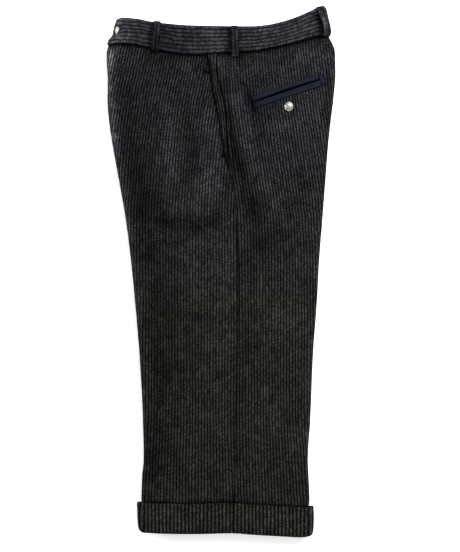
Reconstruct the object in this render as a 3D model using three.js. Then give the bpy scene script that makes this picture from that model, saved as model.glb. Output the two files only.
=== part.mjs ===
// Cropped wool trousers, folded in half lengthwise and laid flat on their side.
// Millimetres. X runs from the centre front to the centre back, Y from the hem to the waist, Z up.
// A section across the garment is taken at each station, the distance from the hem. On a section, a
// point is found by its run, the length along the cloth from the front fold, and by its depth below
// the outer face of the cloth, which is negative above it.
import * as THREE from 'three';

// Lengths up the garment
const CUFF_TOP = 50;
const BAND_SEAM = 773;
const BAND_TOP = 817;
const POCKET_FOOT = 566;

// Cloth
const CLOTH = 2.2;
const SEAM_GAP = 0.3;
const LAYER_GAP = 0.6;
const RIB_PITCH = 4.57;
const RIB_RISE = 0.8;
const BAND_PROUD = 1.5;
const BAND_RIB_RISE = 0.9;
const BAND_RIBS = 7;
const CUFF_PROUD = 2.8;
const CUFF_RIB_PITCH = 5.4;
const FACING_DEPTH = 1.3;
const FACING_WALL = 1.8;

// Trimmings
const LOOP_WIDTH = 10.5;
const LOOP_WALL = 2.1;
const REST_GAP = 0.35;
const UPPER_WELT = 8.4;
const LOWER_WELT = 9.8;
const WELT_WALL = 1.7;
const SLIT = 1.6;
const POCKET_BUTTON_RADIUS = 7.6;
const WAIST_BUTTON_RADIUS = 6.4;
const BUTTON_HEIGHT = 5.2;
const TACK_HEIGHT = 1.9;
const TACK_LENGTH = 9;
const TACK_WALL = 1;

// The front and the back fold at each station. Near the waist the front fold is drawn in, where the
// waist button stands. The cuff is wider than the leg above it.
const EDGES = [
  { at: 0, front: -121.6, back: 138.4 },
  { at: 4, front: -123.4, back: 140.2 },
  { at: 10, front: -124.6, back: 140.9 },
  { at: 34, front: -126, back: 141.5 },
  { at: 50, front: -127.2, back: 141.3 },
  { at: 50.1, front: -122.7, back: 137.6 },
  { at: 90, front: -121.6, back: 136.6 },
  { at: 120, front: -118.9, back: 135.3 },
  { at: 182, front: -120.1, back: 139.1 },
  { at: 274, front: -124.8, back: 142.7 },
  { at: 367, front: -132.5, back: 149.4 },
  { at: 429, front: -138.7, back: 152.8 },
  { at: 491, front: -146.5, back: 157.8 },
  { at: 553, front: -157.3, back: 162.6 },
  { at: 615, front: -168.3, back: 167.5 },
  { at: 648, front: -172.8, back: 171.3 },
  { at: 682, front: -175.2, back: 175.6 },
  { at: 716, front: -175, back: 178.3 },
  { at: 749, front: -176.6, back: 177.6 },
  { at: 760, front: -176.7, back: 174.4 },
  { at: 773, front: -174.2, back: 168 },
  { at: 780, front: -173.2, back: 167 },
  { at: 785, front: -169.8, back: 166 },
  { at: 789, front: -162.4, back: 165 },
  { at: 792.5, front: -158, back: 164.2 },
  { at: 796, front: -157.2, back: 163.4 },
  { at: 800, front: -157.4, back: 162.6 },
  { at: 804, front: -159.4, back: 162 },
  { at: 808, front: -162.3, back: 161.4 },
  { at: 812.5, front: -161.2, back: 161 },
  { at: 817, front: -156.8, back: 159.2 },
];

// Roundness and thickness at each station. rim is the height of the fold's middle, roll the height of
// its rounding above that, frontRoll and backRoll its reach inwards, crown the height at the middle
// of the section, tuck how far the cloth turns under past the fold, lobeRim the height at which the
// lower layers stand out furthest, and frontInset and backInset how far inside the fold that is.
const FORM = [
  { at: 0, frontRoll: 6, backRoll: 6, roll: 6, rim: 15, crown: 22.5,
    tuck: 7, lobeRim: 4.5, frontInset: 1.5, backInset: 2 },
  { at: 12, frontRoll: 6.5, backRoll: 6.5, roll: 6.5, rim: 16, crown: 24,
    tuck: 8, lobeRim: 5, frontInset: 1, backInset: 1.5 },
  { at: 50, frontRoll: 6.5, backRoll: 6.5, roll: 6.5, rim: 16, crown: 24,
    tuck: 8, lobeRim: 5, frontInset: 1, backInset: 1.5 },
  { at: 90, frontRoll: 7, backRoll: 7, roll: 7, rim: 17.5, crown: 26,
    tuck: 9, lobeRim: 5.5, frontInset: 1, backInset: 1.5 },
  { at: 120, frontRoll: 7, backRoll: 7, roll: 7, rim: 18, crown: 27,
    tuck: 9, lobeRim: 5.5, frontInset: 1.5, backInset: 2 },
  { at: 182, frontRoll: 7.5, backRoll: 7.5, roll: 7.5, rim: 19, crown: 28,
    tuck: 9, lobeRim: 6, frontInset: 2, backInset: 2 },
  { at: 274, frontRoll: 7.5, backRoll: 7.5, roll: 7.5, rim: 20, crown: 29.5,
    tuck: 9, lobeRim: 6, frontInset: 1.5, backInset: 2 },
  { at: 367, frontRoll: 7.5, backRoll: 7.5, roll: 7.5, rim: 20.5, crown: 31,
    tuck: 9, lobeRim: 6.5, frontInset: 1.5, backInset: 1.5 },
  { at: 429, frontRoll: 8, backRoll: 8, roll: 8, rim: 20.5, crown: 32,
    tuck: 8, lobeRim: 6.5, frontInset: 1, backInset: 1.5 },
  { at: 491, frontRoll: 8, backRoll: 8, roll: 9, rim: 19.5, crown: 33,
    tuck: 5, lobeRim: 7, frontInset: 1, backInset: 1 },
  { at: 553, frontRoll: 8.5, backRoll: 8.5, roll: 10, rim: 18.5, crown: 34,
    tuck: 2, lobeRim: 7.5, frontInset: 0.5, backInset: 0.5 },
  { at: 615, frontRoll: 9, backRoll: 8.5, roll: 11, rim: 18, crown: 34.5,
    tuck: 1, lobeRim: 8, frontInset: 0.2, backInset: 0.2 },
  { at: 677, frontRoll: 9, backRoll: 8.5, roll: 11, rim: 17.5, crown: 34,
    tuck: 1, lobeRim: 8, frontInset: 0.2, backInset: 0.2 },
  { at: 739, frontRoll: 9, backRoll: 8.5, roll: 11, rim: 16.5, crown: 32,
    tuck: 1, lobeRim: 7.5, frontInset: 0, backInset: 0.2 },
  { at: 773, frontRoll: 9.5, backRoll: 8.5, roll: 12, rim: 15, crown: 30,
    tuck: 1, lobeRim: 7, frontInset: -0.5, backInset: 0.2 },
  { at: 785, frontRoll: 11, backRoll: 8.5, roll: 12.5, rim: 14.5, crown: 29.2,
    tuck: 1, lobeRim: 6.5, frontInset: -2.5, backInset: 0.2 },
  { at: 789, frontRoll: 11.5, backRoll: 8.5, roll: 12.8, rim: 14.3, crown: 29,
    tuck: 1, lobeRim: 6.5, frontInset: -7.8, backInset: 0.2 },
  { at: 796, frontRoll: 12, backRoll: 8.5, roll: 13, rim: 14, crown: 28.5,
    tuck: 1, lobeRim: 6.5, frontInset: -10.2, backInset: 0.2 },
  { at: 804, frontRoll: 12, backRoll: 8.5, roll: 13, rim: 13.6, crown: 28,
    tuck: 1, lobeRim: 6.3, frontInset: -6.8, backInset: 0.2 },
  { at: 808, frontRoll: 12, backRoll: 8.5, roll: 13, rim: 13.4, crown: 27.7,
    tuck: 1, lobeRim: 6.2, frontInset: -2.7, backInset: 0.2 },
  { at: 817, frontRoll: 11, backRoll: 8.5, roll: 12.5, rim: 13, crown: 27,
    tuck: 1, lobeRim: 6, frontInset: -1, backInset: 0.2 },
];

// The edge of the pocket mouth and the side seam. They meet below the pocket.
const SIDE = [
  { at: 0, mouth: 17.8, seam: 17.8 },
  { at: 57, mouth: 20.9, seam: 20.9 },
  { at: 212, mouth: 24, seam: 24 },
  { at: 320, mouth: 27, seam: 27 },
  { at: 400, mouth: 27, seam: 27 },
  { at: 470, mouth: 25.5, seam: 25.5 },
  { at: 500, mouth: 23.5, seam: 23.5 },
  { at: 520, mouth: 21.5, seam: 21.5 },
  { at: 540, mouth: 19, seam: 19 },
  { at: 560, mouth: 15.2, seam: 16 },
  { at: 575, mouth: 10.4, seam: 13.8 },
  { at: 590, mouth: 6, seam: 12 },
  { at: 612, mouth: 3.1, seam: 10.2 },
  { at: 624, mouth: 0.8, seam: 9.6 },
  { at: 641, mouth: -0.9, seam: 9.2 },
  { at: 660, mouth: -3.9, seam: 8.2 },
  { at: 676, mouth: -7, seam: 6.3 },
  { at: 692, mouth: -9.8, seam: 4.5 },
  { at: 708, mouth: -12.4, seam: 1 },
  { at: 728, mouth: -14.8, seam: -3.8 },
  { at: 747, mouth: -17, seam: -6.2 },
  { at: 767, mouth: -20.9, seam: -5.4 },
  { at: 773, mouth: -21.7, seam: -4.4 },
];

// How far the band's seam, the waist and the hem stray from straight lines across the garment
const STRAY = [
  { across: 0, band: -10.8, waist: -11.8, hem: 2.4 },
  { across: 0.05, band: -8.8, waist: -12.8, hem: 1.6 },
  { across: 0.1, band: -9.2, waist: -14.6, hem: 1 },
  { across: 0.2, band: -15.8, waist: -19.4, hem: 0.3 },
  { across: 0.3, band: -22.6, waist: -22.6, hem: 0.1 },
  { across: 0.38, band: -24.8, waist: -23.8, hem: 0.5 },
  { across: 0.48, band: -23.2, waist: -24.3, hem: 1.4 },
  { across: 0.56, band: -21.6, waist: -24.8, hem: 1.2 },
  { across: 0.64, band: -20.4, waist: -24.8, hem: -0.4 },
  { across: 0.72, band: -16.4, waist: -22.6, hem: -1.8 },
  { across: 0.8, band: -10.4, waist: -17, hem: -2.9 },
  { across: 0.87, band: -4.2, waist: -9.4, hem: -4 },
  { across: 0.93, band: 1.8, waist: -1, hem: -4.9 },
  { across: 0.97, band: 4, waist: 3, hem: -4.6 },
  { across: 1, band: 4.6, waist: 5, hem: -3.7 },
];
const WAIST_STRAY_FROM = 600;
const HEM_STRAY_TO = 130;
const HEM_LIFT = [
  { at: 0, lift: 3.3 },
  { at: 50, lift: 0.7 },
  { at: 120, lift: 0 },
];

// How far the ribs of each panel lean sideways from the thigh up, and how they fan out at the hem
const RIBS = [
  { at: 50, front: 2, back: 0, fan: 1.07 },
  { at: 120, front: 0.5, back: 0, fan: 1.03 },
  { at: 200, front: 0, back: 0, fan: 1 },
  { at: 420, front: 0, back: -0.5, fan: 1 },
  { at: 497, front: 0, back: -3, fan: 1 },
  { at: 553, front: 3, back: -10, fan: 1 },
  { at: 615, front: 9.5, back: -18.5, fan: 1 },
  { at: 677, front: 18, back: -25, fan: 1 },
  { at: 739, front: 29, back: -28.5, fan: 1 },
  { at: 773, front: 34, back: -29.5, fan: 1 },
];

// The largest folds: a line through three places, its half-width, and its rise or fall
const FOLDS = [
  { x1: -106, y1: 670, x2: -106, y2: 600, x3: -98, y3: 538, width: 13, rise: 2.4 },
  { x1: -53, y1: 670, x2: -47, y2: 600, x3: -53, y3: 546, width: 13, rise: -2.6 },
  { x1: -21, y1: 662, x2: -19, y2: 600, x3: -19, y3: 530, width: 15, rise: 2.8 },
  { x1: -91, y1: 525, x2: -60, y2: 507, x3: -24, y3: 513, width: 12, rise: 1.6 },
  { x1: -89, y1: 485, x2: -47, y2: 476, x3: -7, y3: 488, width: 10, rise: -2.8 },
  { x1: -38, y1: 445, x2: -29, y2: 406, x3: -13, y3: 367, width: 26, rise: 2.6 },
  { x1: -66, y1: 355, x2: -32, y2: 337, x3: 12, y3: 340, width: 9, rise: -2.2 },
  { x1: -143, y1: 677, x2: -125, y2: 522, x3: -102, y3: 367, width: 13, rise: -1.8 },
  { x1: -102, y1: 367, x2: -100, y2: 212, x3: -103, y3: 88, width: 14, rise: -2.2 },
  { x1: 27, y1: 460, x2: 30, y2: 290, x3: 30, y3: 104, width: 11, rise: -1.8 },
  { x1: 12, y1: 662, x2: 26, y2: 577, x3: 50, y3: 510, width: 10, rise: -2.2 },
  { x1: 50, y1: 510, x2: 60, y2: 480, x3: 66, y3: 450, width: 11, rise: -1.8 },
  { x1: 46, y1: 605, x2: 64, y2: 546, x3: 95, y3: 479, width: 11, rise: 2 },
  { x1: 100, y1: 360, x2: 123, y2: 329, x3: 150, y3: 305, width: 15, rise: 1.4 },
];

const blend = (from, to, share) => from + (to - from) * share;
const ease = (share) => share * share * (3 - 2 * share);
const clamp = (value, low, high) => Math.min(Math.max(value, low), high);

// A column of a table at a place between its rows, smooth and without overshoot
function read(table, key, column, place) {
  const last = table.length - 1;
  if (place <= table[0][key]) return table[0][column];
  if (place >= table[last][key]) return table[last][column];
  let row = 0;
  while (table[row + 1][key] < place) row += 1;
  const slope = (i) => (table[i + 1][column] - table[i][column]) / (table[i + 1][key] - table[i][key]);
  const tangent = (i) => {
    if (i === 0) return slope(0);
    if (i === last) return slope(last - 1);
    const before = slope(i - 1);
    const after = slope(i);
    return before * after <= 0 ? 0 : 2 * before * after / (before + after);
  };
  const span = table[row + 1][key] - table[row][key];
  const u = (place - table[row][key]) / span;
  const level = blend(table[row][column], table[row + 1][column], ease(u));
  return level + span * u * (1 - u) * ((1 - u) * tangent(row) - u * tangent(row + 1));
}

const edge = (at, column) => read(EDGES, 'at', column, at);
const side = (at, column) => read(SIDE, 'at', column, at);

// The height of a place on the garment, where the seams across it are neither straight nor level
function heightUp(at, x) {
  const across = clamp((x - edge(at, 'front')) / (edge(at, 'back') - edge(at, 'front')), 0, 1);
  const stray = (column) => read(STRAY, 'across', column, across);
  const nearWaist = ease(clamp((at - WAIST_STRAY_FROM) / (BAND_SEAM - WAIST_STRAY_FROM), 0, 1));
  const nearHem = ease(clamp((HEM_STRAY_TO - at) / (HEM_STRAY_TO - CUFF_TOP), 0, 1));
  const upBand = clamp((at - BAND_SEAM) / (BAND_TOP - BAND_SEAM), 0, 1);
  const waist = blend(stray('band'), stray('waist'), upBand);
  return at + nearWaist * waist + nearHem * stray('hem') + read(HEM_LIFT, 'at', 'lift', at);
}

// How far the folds lift or sink the cloth at a place
function relief(x, y) {
  const toSegment = (ax, ay, bx, by) => {
    const along = ((x - ax) * (bx - ax) + (y - ay) * (by - ay)) / ((bx - ax) ** 2 + (by - ay) ** 2);
    const near = clamp(along, 0, 1);
    return Math.hypot(x - blend(ax, bx, near), y - blend(ay, by, near));
  };
  let total = 0;
  for (const fold of FOLDS) {
    const upper = toSegment(fold.x1, fold.y1, fold.x2, fold.y2);
    const lower = toSegment(fold.x2, fold.y2, fold.x3, fold.y3);
    total += fold.rise * Math.exp(-((Math.min(upper, lower) / fold.width) ** 2));
  }
  return total;
}

// The outer face of the cloth on one section, as close points from the front tuck to the back tuck
const SECTION_STEPS = 90;
const ROLL_STEPS = 14;
const SHOULDER = 62;
const sections = new Map();

function makeSection(at) {
  const row = { front: edge(at, 'front'), back: edge(at, 'back') };
  for (const column of Object.keys(FORM[0])) {
    if (column !== 'at') row[column] = read(FORM, 'at', column, at);
  }
  const points = [];
  const rise = row.crown - row.rim - row.roll;
  const slope = 2 * rise / SHOULDER;
  const roll = (fold, reach, inward, angle) => ({
    x: fold + inward * reach * (1 - Math.cos(angle)),
    z: row.rim + row.roll * Math.sin(angle),
  });
  const frontEnd = Math.atan2(row.roll, slope * row.frontRoll);
  const backEnd = Math.atan2(row.roll, slope * row.backRoll);
  const under = 1.5;
  for (let i = ROLL_STEPS; i > 0; i -= 1) {
    points.push(roll(row.front, row.frontRoll, 1, -under * i / ROLL_STEPS));
  }
  const frontFold = points.length;
  for (let i = 0; i <= ROLL_STEPS; i += 1) {
    points.push(roll(row.front, row.frontRoll, 1, frontEnd * i / ROLL_STEPS));
  }
  const start = points[points.length - 1];
  const finish = roll(row.back, row.backRoll, -1, backEnd);
  for (let i = 1; i < SECTION_STEPS; i += 1) {
    const x = blend(start.x, finish.x, i / SECTION_STEPS);
    const inFront = clamp((x - start.x) / SHOULDER, 0, 1);
    const inBack = clamp((finish.x - x) / SHOULDER, 0, 1);
    const fromFront = start.z + (row.crown - start.z) * inFront * (2 - inFront);
    const fromBack = finish.z + (row.crown - finish.z) * inBack * (2 - inBack);
    const z = Math.min(fromFront, fromBack);
    points.push({ x, z: z + relief(x, heightUp(at, x)) * ease(Math.min(inFront, inBack, 0.25) * 4) });
  }
  for (let i = ROLL_STEPS; i >= 0; i -= 1) {
    points.push(roll(row.back, row.backRoll, -1, backEnd * i / ROLL_STEPS));
  }
  const backFold = points.length - 1;
  for (let i = 1; i <= ROLL_STEPS; i += 1) {
    points.push(roll(row.back, row.backRoll, -1, -under * i / ROLL_STEPS));
  }
  let run = 0;
  points.forEach((point, i) => {
    if (i > 0) run += Math.hypot(point.x - points[i - 1].x, point.z - points[i - 1].z);
    point.run = run;
  });
  const zero = points[frontFold].run;
  points.forEach((point) => { point.run -= zero; });
  const frontArc = points[frontFold + ROLL_STEPS].run;
  const width = points[backFold].run;
  const backArc = width - points[backFold - ROLL_STEPS].run;
  return { row, points, width, frontArc, backArc };
}

function section(at) {
  if (!sections.has(at)) sections.set(at, makeSection(at));
  return sections.get(at);
}

// The index of the section's step that holds a value of a column that grows along it
function step(points, column, value) {
  let low = 0;
  let high = points.length - 2;
  while (low < high) {
    const middle = Math.ceil((low + high) / 2);
    if (points[middle][column] <= value) low = middle;
    else high = middle - 1;
  }
  return low;
}

// The direction out of the cloth, and the place on it, at a station and a run
function face(at, run) {
  const { points } = section(at);
  const i = step(points, 'run', run);
  const from = points[i];
  const to = points[i + 1];
  const share = (run - from.run) / (to.run - from.run);
  const tangentAt = (k) => {
    const a = points[Math.max(k - 1, 0)];
    const b = points[Math.min(k + 1, points.length - 1)];
    return new THREE.Vector2(b.x - a.x, b.z - a.z).normalize();
  };
  const tangent = tangentAt(i).lerp(tangentAt(i + 1), share).normalize();
  return {
    x: blend(from.x, to.x, share),
    z: blend(from.z, to.z, share),
    outX: -tangent.y,
    outZ: tangent.x,
  };
}

function place(at, run, depth) {
  const spot = face(at, run);
  const x = spot.x - spot.outX * depth;
  return new THREE.Vector3(x, heightUp(at, x), spot.z - spot.outZ * depth);
}

// The run at which a section passes a distance across the garment, on its upper face
function runAt(at, x) {
  const { points } = section(at);
  const upper = points.filter((point) => point.run >= 0 && point.run <= section(at).width);
  const i = step(upper, 'x', x);
  const share = clamp((x - upper[i].x) / (upper[i + 1].x - upper[i].x), 0, 1);
  return blend(upper[i].run, upper[i + 1].run, share);
}

// The station at which a place lies, found by stepping back from its height
function stationOf(x, y) {
  let at = y;
  for (let i = 0; i < 12; i += 1) at += y - heightUp(at, x);
  return at;
}

// A closed mesh from vertices and quads, with meeting vertices joined and flat leftovers dropped
class Solid {
  constructor() {
    this.vertices = [];
    this.known = new Map();
    this.triangles = [];
  }

  vertex(point) {
    const key = [point.x, point.y, point.z].map((value) => Math.round(value * 1000)).join(',');
    if (!this.known.has(key)) {
      this.known.set(key, this.vertices.length);
      this.vertices.push(point);
    }
    return this.known.get(key);
  }

  triangle(a, b, c) {
    if (a !== b && b !== c && c !== a) this.triangles.push([a, b, c]);
  }

  quad(a, b, c, d) {
    this.triangle(a, b, c);
    this.triangle(a, c, d);
  }

  // Faces between two chains that run side by side, whatever the number of points in each
  zip(first, second) {
    let i = 0;
    let j = 0;
    while (i < first.length - 1 || j < second.length - 1) {
      const nextFirst = i < first.length - 1 ? first[i + 1].run : Infinity;
      const nextSecond = j < second.length - 1 ? second[j + 1].run : Infinity;
      if (nextFirst <= nextSecond) {
        this.triangle(first[i].index, first[i + 1].index, second[j].index);
        i += 1;
      } else {
        this.triangle(first[i].index, second[j + 1].index, second[j].index);
        j += 1;
      }
    }
  }

  geometry() {
    let volume = 0;
    for (const [a, b, c] of this.triangles) {
      const cross = new THREE.Vector3().crossVectors(this.vertices[b], this.vertices[c]);
      volume += this.vertices[a].dot(cross);
    }
    const index = this.triangles.flatMap(([a, b, c]) => (volume > 0 ? [a, b, c] : [a, c, b]));
    const geometry = new THREE.BufferGeometry();
    geometry.setAttribute('position', new THREE.Float32BufferAttribute(
      this.vertices.flatMap((vertex) => vertex.toArray()), 3));
    geometry.setIndex(index);
    geometry.computeVertexNormals();
    return geometry;
  }
}

// A wall of cloth: on each station, a chain of outer points and a chain of inner points
function wall(stations, outerChain, innerChain) {
  const solid = new Solid();
  const indexed = (at, chain) => chain.map(({ run, depth }) => (
    { run, index: solid.vertex(place(at, run, depth)) }));
  const rows = stations.map((at) => ({
    outer: indexed(at, outerChain(at)),
    inner: indexed(at, innerChain(at)),
  }));
  for (let i = 0; i + 1 < rows.length; i += 1) {
    const low = rows[i];
    const high = rows[i + 1];
    for (let j = 0; j + 1 < low.outer.length; j += 1) {
      solid.quad(low.outer[j].index, low.outer[j + 1].index, high.outer[j + 1].index, high.outer[j].index);
    }
    for (let j = 0; j + 1 < low.inner.length; j += 1) {
      solid.quad(low.inner[j].index, high.inner[j].index, high.inner[j + 1].index, low.inner[j + 1].index);
    }
    solid.quad(low.inner[0].index, low.outer[0].index, high.outer[0].index, high.inner[0].index);
    const o = low.outer.length - 1;
    const n = low.inner.length - 1;
    solid.quad(low.outer[o].index, low.inner[n].index, high.inner[n].index, high.outer[o].index);
  }
  const bottom = rows[0];
  const top = rows[rows.length - 1];
  solid.zip(bottom.inner, bottom.outer);
  solid.zip(top.outer, top.inner);
  return solid.geometry();
}

// The same ribs on every station, so that each rib is one line from hem to waist
function ribs(stations, pitch, leanColumn, range, rise) {
  const half = pitch / 2;
  const spans = stations.map((at) => {
    const middle = runAt(at, 0) + (leanColumn ? read(RIBS, 'at', leanColumn, at) : 0);
    const stretch = half * read(RIBS, 'at', 'fan', at);
    return { at, middle, stretch, ...range(at) };
  });
  const first = Math.floor(Math.min(...spans.map((span) => (span.from - span.middle) / span.stretch)));
  const last = Math.ceil(Math.max(...spans.map((span) => (span.to - span.middle) / span.stretch)));
  return (at) => {
    const span = spans.find((one) => one.at === at);
    const snap = span.stretch * 0.5;
    const chain = [{ run: span.from, depth: 0 }];
    for (let k = first; k <= last; k += 1) {
      const run = span.middle + k * span.stretch;
      const onFold = run < 0.5 || run > section(at).width - 0.5;
      if (run < span.from + snap) chain.push({ run: span.from, depth: 0 });
      else if (run > span.to - snap) chain.push({ run: span.to, depth: 0 });
      else chain.push({ run, depth: k % 2 === 0 || onFold ? 0 : -rise });
    }
    chain.push({ run: span.to, depth: 0 });
    return chain;
  };
}

// Runs of the plain inner face: round the fold, then evenly to the side seam
const PLAIN_STEPS = 6;

function plainRuns(at, isFront, seamRun) {
  const { row, width, frontArc, backArc } = section(at);
  const arc = isFront ? frontArc : backArc;
  const reach = isFront ? seamRun : width - seamRun;
  const runs = [-row.tuck, -row.tuck / 2, 0, arc * 0.35, arc * 0.7];
  for (let i = 0; i <= PLAIN_STEPS; i += 1) runs.push(blend(arc, reach, i / PLAIN_STEPS));
  return isFront ? runs : runs.map((run) => width - run).reverse();
}

const plainChain = (runs, depth) => runs.map((run) => ({ run, depth }));
const mouthRun = (at) => runAt(at, side(at, at < POCKET_FOOT ? 'seam' : 'mouth'));
const seamRun = (at) => runAt(at, side(at, 'seam'));

const PANEL_STATIONS = [50.15, 59, 82, 110, 150, 195, 240, 285, 345, 405, 465, 500, 532, 568, 588, 610, 634,
  658, 682, 706, 730, 752, 772.9];

function frontPanel() {
  const range = (at) => ({ from: -section(at).row.tuck, to: mouthRun(at) - SEAM_GAP / 2 });
  const inner = (at) => plainChain(plainRuns(at, true, range(at).to), CLOTH);
  return wall(PANEL_STATIONS, ribs(PANEL_STATIONS, RIB_PITCH, 'front', range, RIB_RISE), inner);
}

function backPanel() {
  const range = (at) => ({
    from: seamRun(at) + SEAM_GAP / 2,
    to: section(at).width + section(at).row.tuck,
  });
  const inner = (at) => plainChain(plainRuns(at, false, range(at).from), CLOTH);
  return wall(PANEL_STATIONS, ribs(PANEL_STATIONS, RIB_PITCH, 'back', range, RIB_RISE), inner);
}

// The facing that shows in the pocket mouth, with its ribs along the mouth
const FACING_RIBS = 3;

function pocketFacing() {
  const stations = PANEL_STATIONS.filter((at) => at > POCKET_FOOT);
  const runs = (at, count) => {
    const from = mouthRun(at) + SEAM_GAP / 2;
    const to = seamRun(at) - SEAM_GAP / 2;
    return Array.from({ length: count + 1 }, (unused, i) => blend(from, to, i / count));
  };
  const outer = (at) => runs(at, FACING_RIBS * 2).map((run, i) => (
    { run, depth: FACING_DEPTH - (i % 2) * RIB_RISE }));
  const inner = (at) => plainChain(runs(at, 2), FACING_DEPTH + FACING_WALL);
  return wall(stations, outer, inner);
}

// The waistband, with ribs along it
const BAND_STATIONS = Array.from({ length: BAND_RIBS * 2 + 1 }, (unused, i) => (
  blend(BAND_SEAM + SEAM_GAP, BAND_TOP, i / (BAND_RIBS * 2))));

function waistband() {
  const runs = (at) => {
    const seam = seamRun(at);
    return [...plainRuns(at, true, seam), ...plainRuns(at, false, seam).slice(1)];
  };
  const outer = (at) => {
    const isRidge = BAND_STATIONS.indexOf(at) % 2 === 1;
    const coarse = runs(at);
    const fine = coarse.flatMap((run, i) => (i === 0 ? [run] : [(coarse[i - 1] + run) / 2, run]));
    return plainChain(fine, -BAND_PROUD - (isRidge ? BAND_RIB_RISE : 0));
  };
  return wall(BAND_STATIONS, outer, (at) => plainChain(runs(at), CLOTH));
}

// The turned-up cuff of the upper leg, its hem fold rounded
const CUFF_LEVELS = [
  { at: 0, outer: -0.6 },
  { at: 2.5, outer: -2.2 },
  { at: 7, outer: -CUFF_PROUD },
  { at: 28, outer: -CUFF_PROUD - 0.4 },
  { at: 46, outer: -CUFF_PROUD },
  { at: CUFF_TOP - SEAM_GAP / 2, outer: -CUFF_PROUD + 0.7 },
];

function cuff(isFront) {
  const stations = CUFF_LEVELS.map((level) => level.at);
  const range = (at) => (isFront
    ? { from: -section(at).row.tuck, to: seamRun(at) - SEAM_GAP / 2 }
    : { from: seamRun(at) + SEAM_GAP / 2, to: section(at).width + section(at).row.tuck });
  const ribbed = ribs(stations, CUFF_RIB_PITCH, null, range, RIB_RISE);
  const outer = (at) => ribbed(at).map(({ run, depth }) => {
    const { row, width } = section(at);
    const turned = clamp(Math.max(-run / row.tuck, (run - width) / row.tuck), 0, 1);
    const proud = read(CUFF_LEVELS, 'at', 'outer', at) * (1 - ease(turned));
    return { run, depth: depth + proud };
  });
  const inner = (at) => plainChain(
    plainRuns(at, isFront, isFront ? range(at).to : range(at).from), CLOTH);
  return wall(stations, outer, inner);
}

// The hidden layers: what lies inside the upper leg's fold, and the whole lower leg under it, as one
// rounded solid. Each section runs across the top, down the side with a groove between the layers,
// and along the flat underside.
const HIDDEN_STATIONS = [
  2, 7, 28, 46, ...PANEL_STATIONS,
  ...[0, 2, 3, 4, 5, 6, 7, 8, 9, 11, 13].map((row) => BAND_STATIONS[row]),
];
const LOBE_STEPS = 3;
const BOTTOM_INSET = 7;
const SHOULDER_INSET = 4.5;
const GROOVE_CLEAR = 0.5;
const FACING_CLEAR = FACING_DEPTH + FACING_WALL + LAYER_GAP;

function hiddenSide(at, isFront) {
  const { row, width, frontArc, backArc } = section(at);
  const arc = isFront ? frontArc : backArc;
  const inward = isFront ? 1 : -1;
  const fold = isFront ? row.front : row.back;
  const inset = isFront ? row.frontInset : row.backInset;
  const depth = CLOTH + LAYER_GAP;
  const spot = (run, below) => {
    const point = place(at, isFront ? run : width - run, below);
    return { x: point.x, z: point.z };
  };
  const path = [arc * 0.35, 0, -row.tuck / 2].map((run) => spot(run, depth));
  const end = -row.tuck - LAYER_GAP;
  path.push(spot(end, depth));
  const mouth = spot(end, -GROOVE_CLEAR);
  path.push(mouth);
  const turned = clamp((row.tuck - 1) / 7, 0, 1);
  const shoulder = blend(0.4, SHOULDER_INSET, turned) + Math.max(inset, 0);
  const shoulderZ = mouth.z - 0.5;
  for (let i = 0; i < LOBE_STEPS; i += 1) {
    const angle = (Math.PI / 2) * (1 - i / LOBE_STEPS);
    path.push({
      x: fold + inward * (shoulder - (shoulder - inset) * Math.cos(angle)),
      z: blend(row.lobeRim, shoulderZ, Math.sin(angle)),
    });
  }
  for (let i = 0; i <= LOBE_STEPS; i += 1) {
    const angle = (Math.PI / 2) * (i / LOBE_STEPS);
    path.push({
      x: fold + inward * (BOTTOM_INSET - (BOTTOM_INSET - inset) * Math.cos(angle)),
      z: i === LOBE_STEPS ? 0 : row.lobeRim * (1 - Math.sin(angle)),
    });
  }
  return path;
}

function hiddenTop(at) {
  const { width, frontArc, backArc } = section(at);
  const mouth = mouthRun(at);
  const seam = seamRun(at);
  const isOpen = at > POCKET_FOOT && at <= BAND_SEAM;
  const runs = [];
  for (let i = 0; i < PLAIN_STEPS; i += 1) {
    runs.push({ run: blend(frontArc, mouth, i / PLAIN_STEPS), depth: CLOTH + LAYER_GAP });
  }
  const sideDepth = isOpen ? FACING_CLEAR : CLOTH + LAYER_GAP;
  [mouth, (mouth + seam) / 2, seam].forEach((run) => runs.push({ run, depth: sideDepth }));
  for (let i = PLAIN_STEPS - 1; i >= 0; i -= 1) {
    runs.push({ run: width - blend(backArc, width - seam, i / PLAIN_STEPS), depth: CLOTH + LAYER_GAP });
  }
  runs.unshift({ run: frontArc * 0.7, depth: CLOTH + LAYER_GAP });
  runs.push({ run: width - backArc * 0.7, depth: CLOTH + LAYER_GAP });
  return runs.map(({ run, depth }) => {
    const point = place(at, run, depth);
    return { x: point.x, z: point.z };
  });
}

// How deep each level of the side is set back at the open ends, so that the layers show there
const END_LAYERS = [0, 0, 0.5, 1.5, 4, 4.5, 1.5, 0.5, 0, 2.5, 0.5, 0.5, 0.5];

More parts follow.
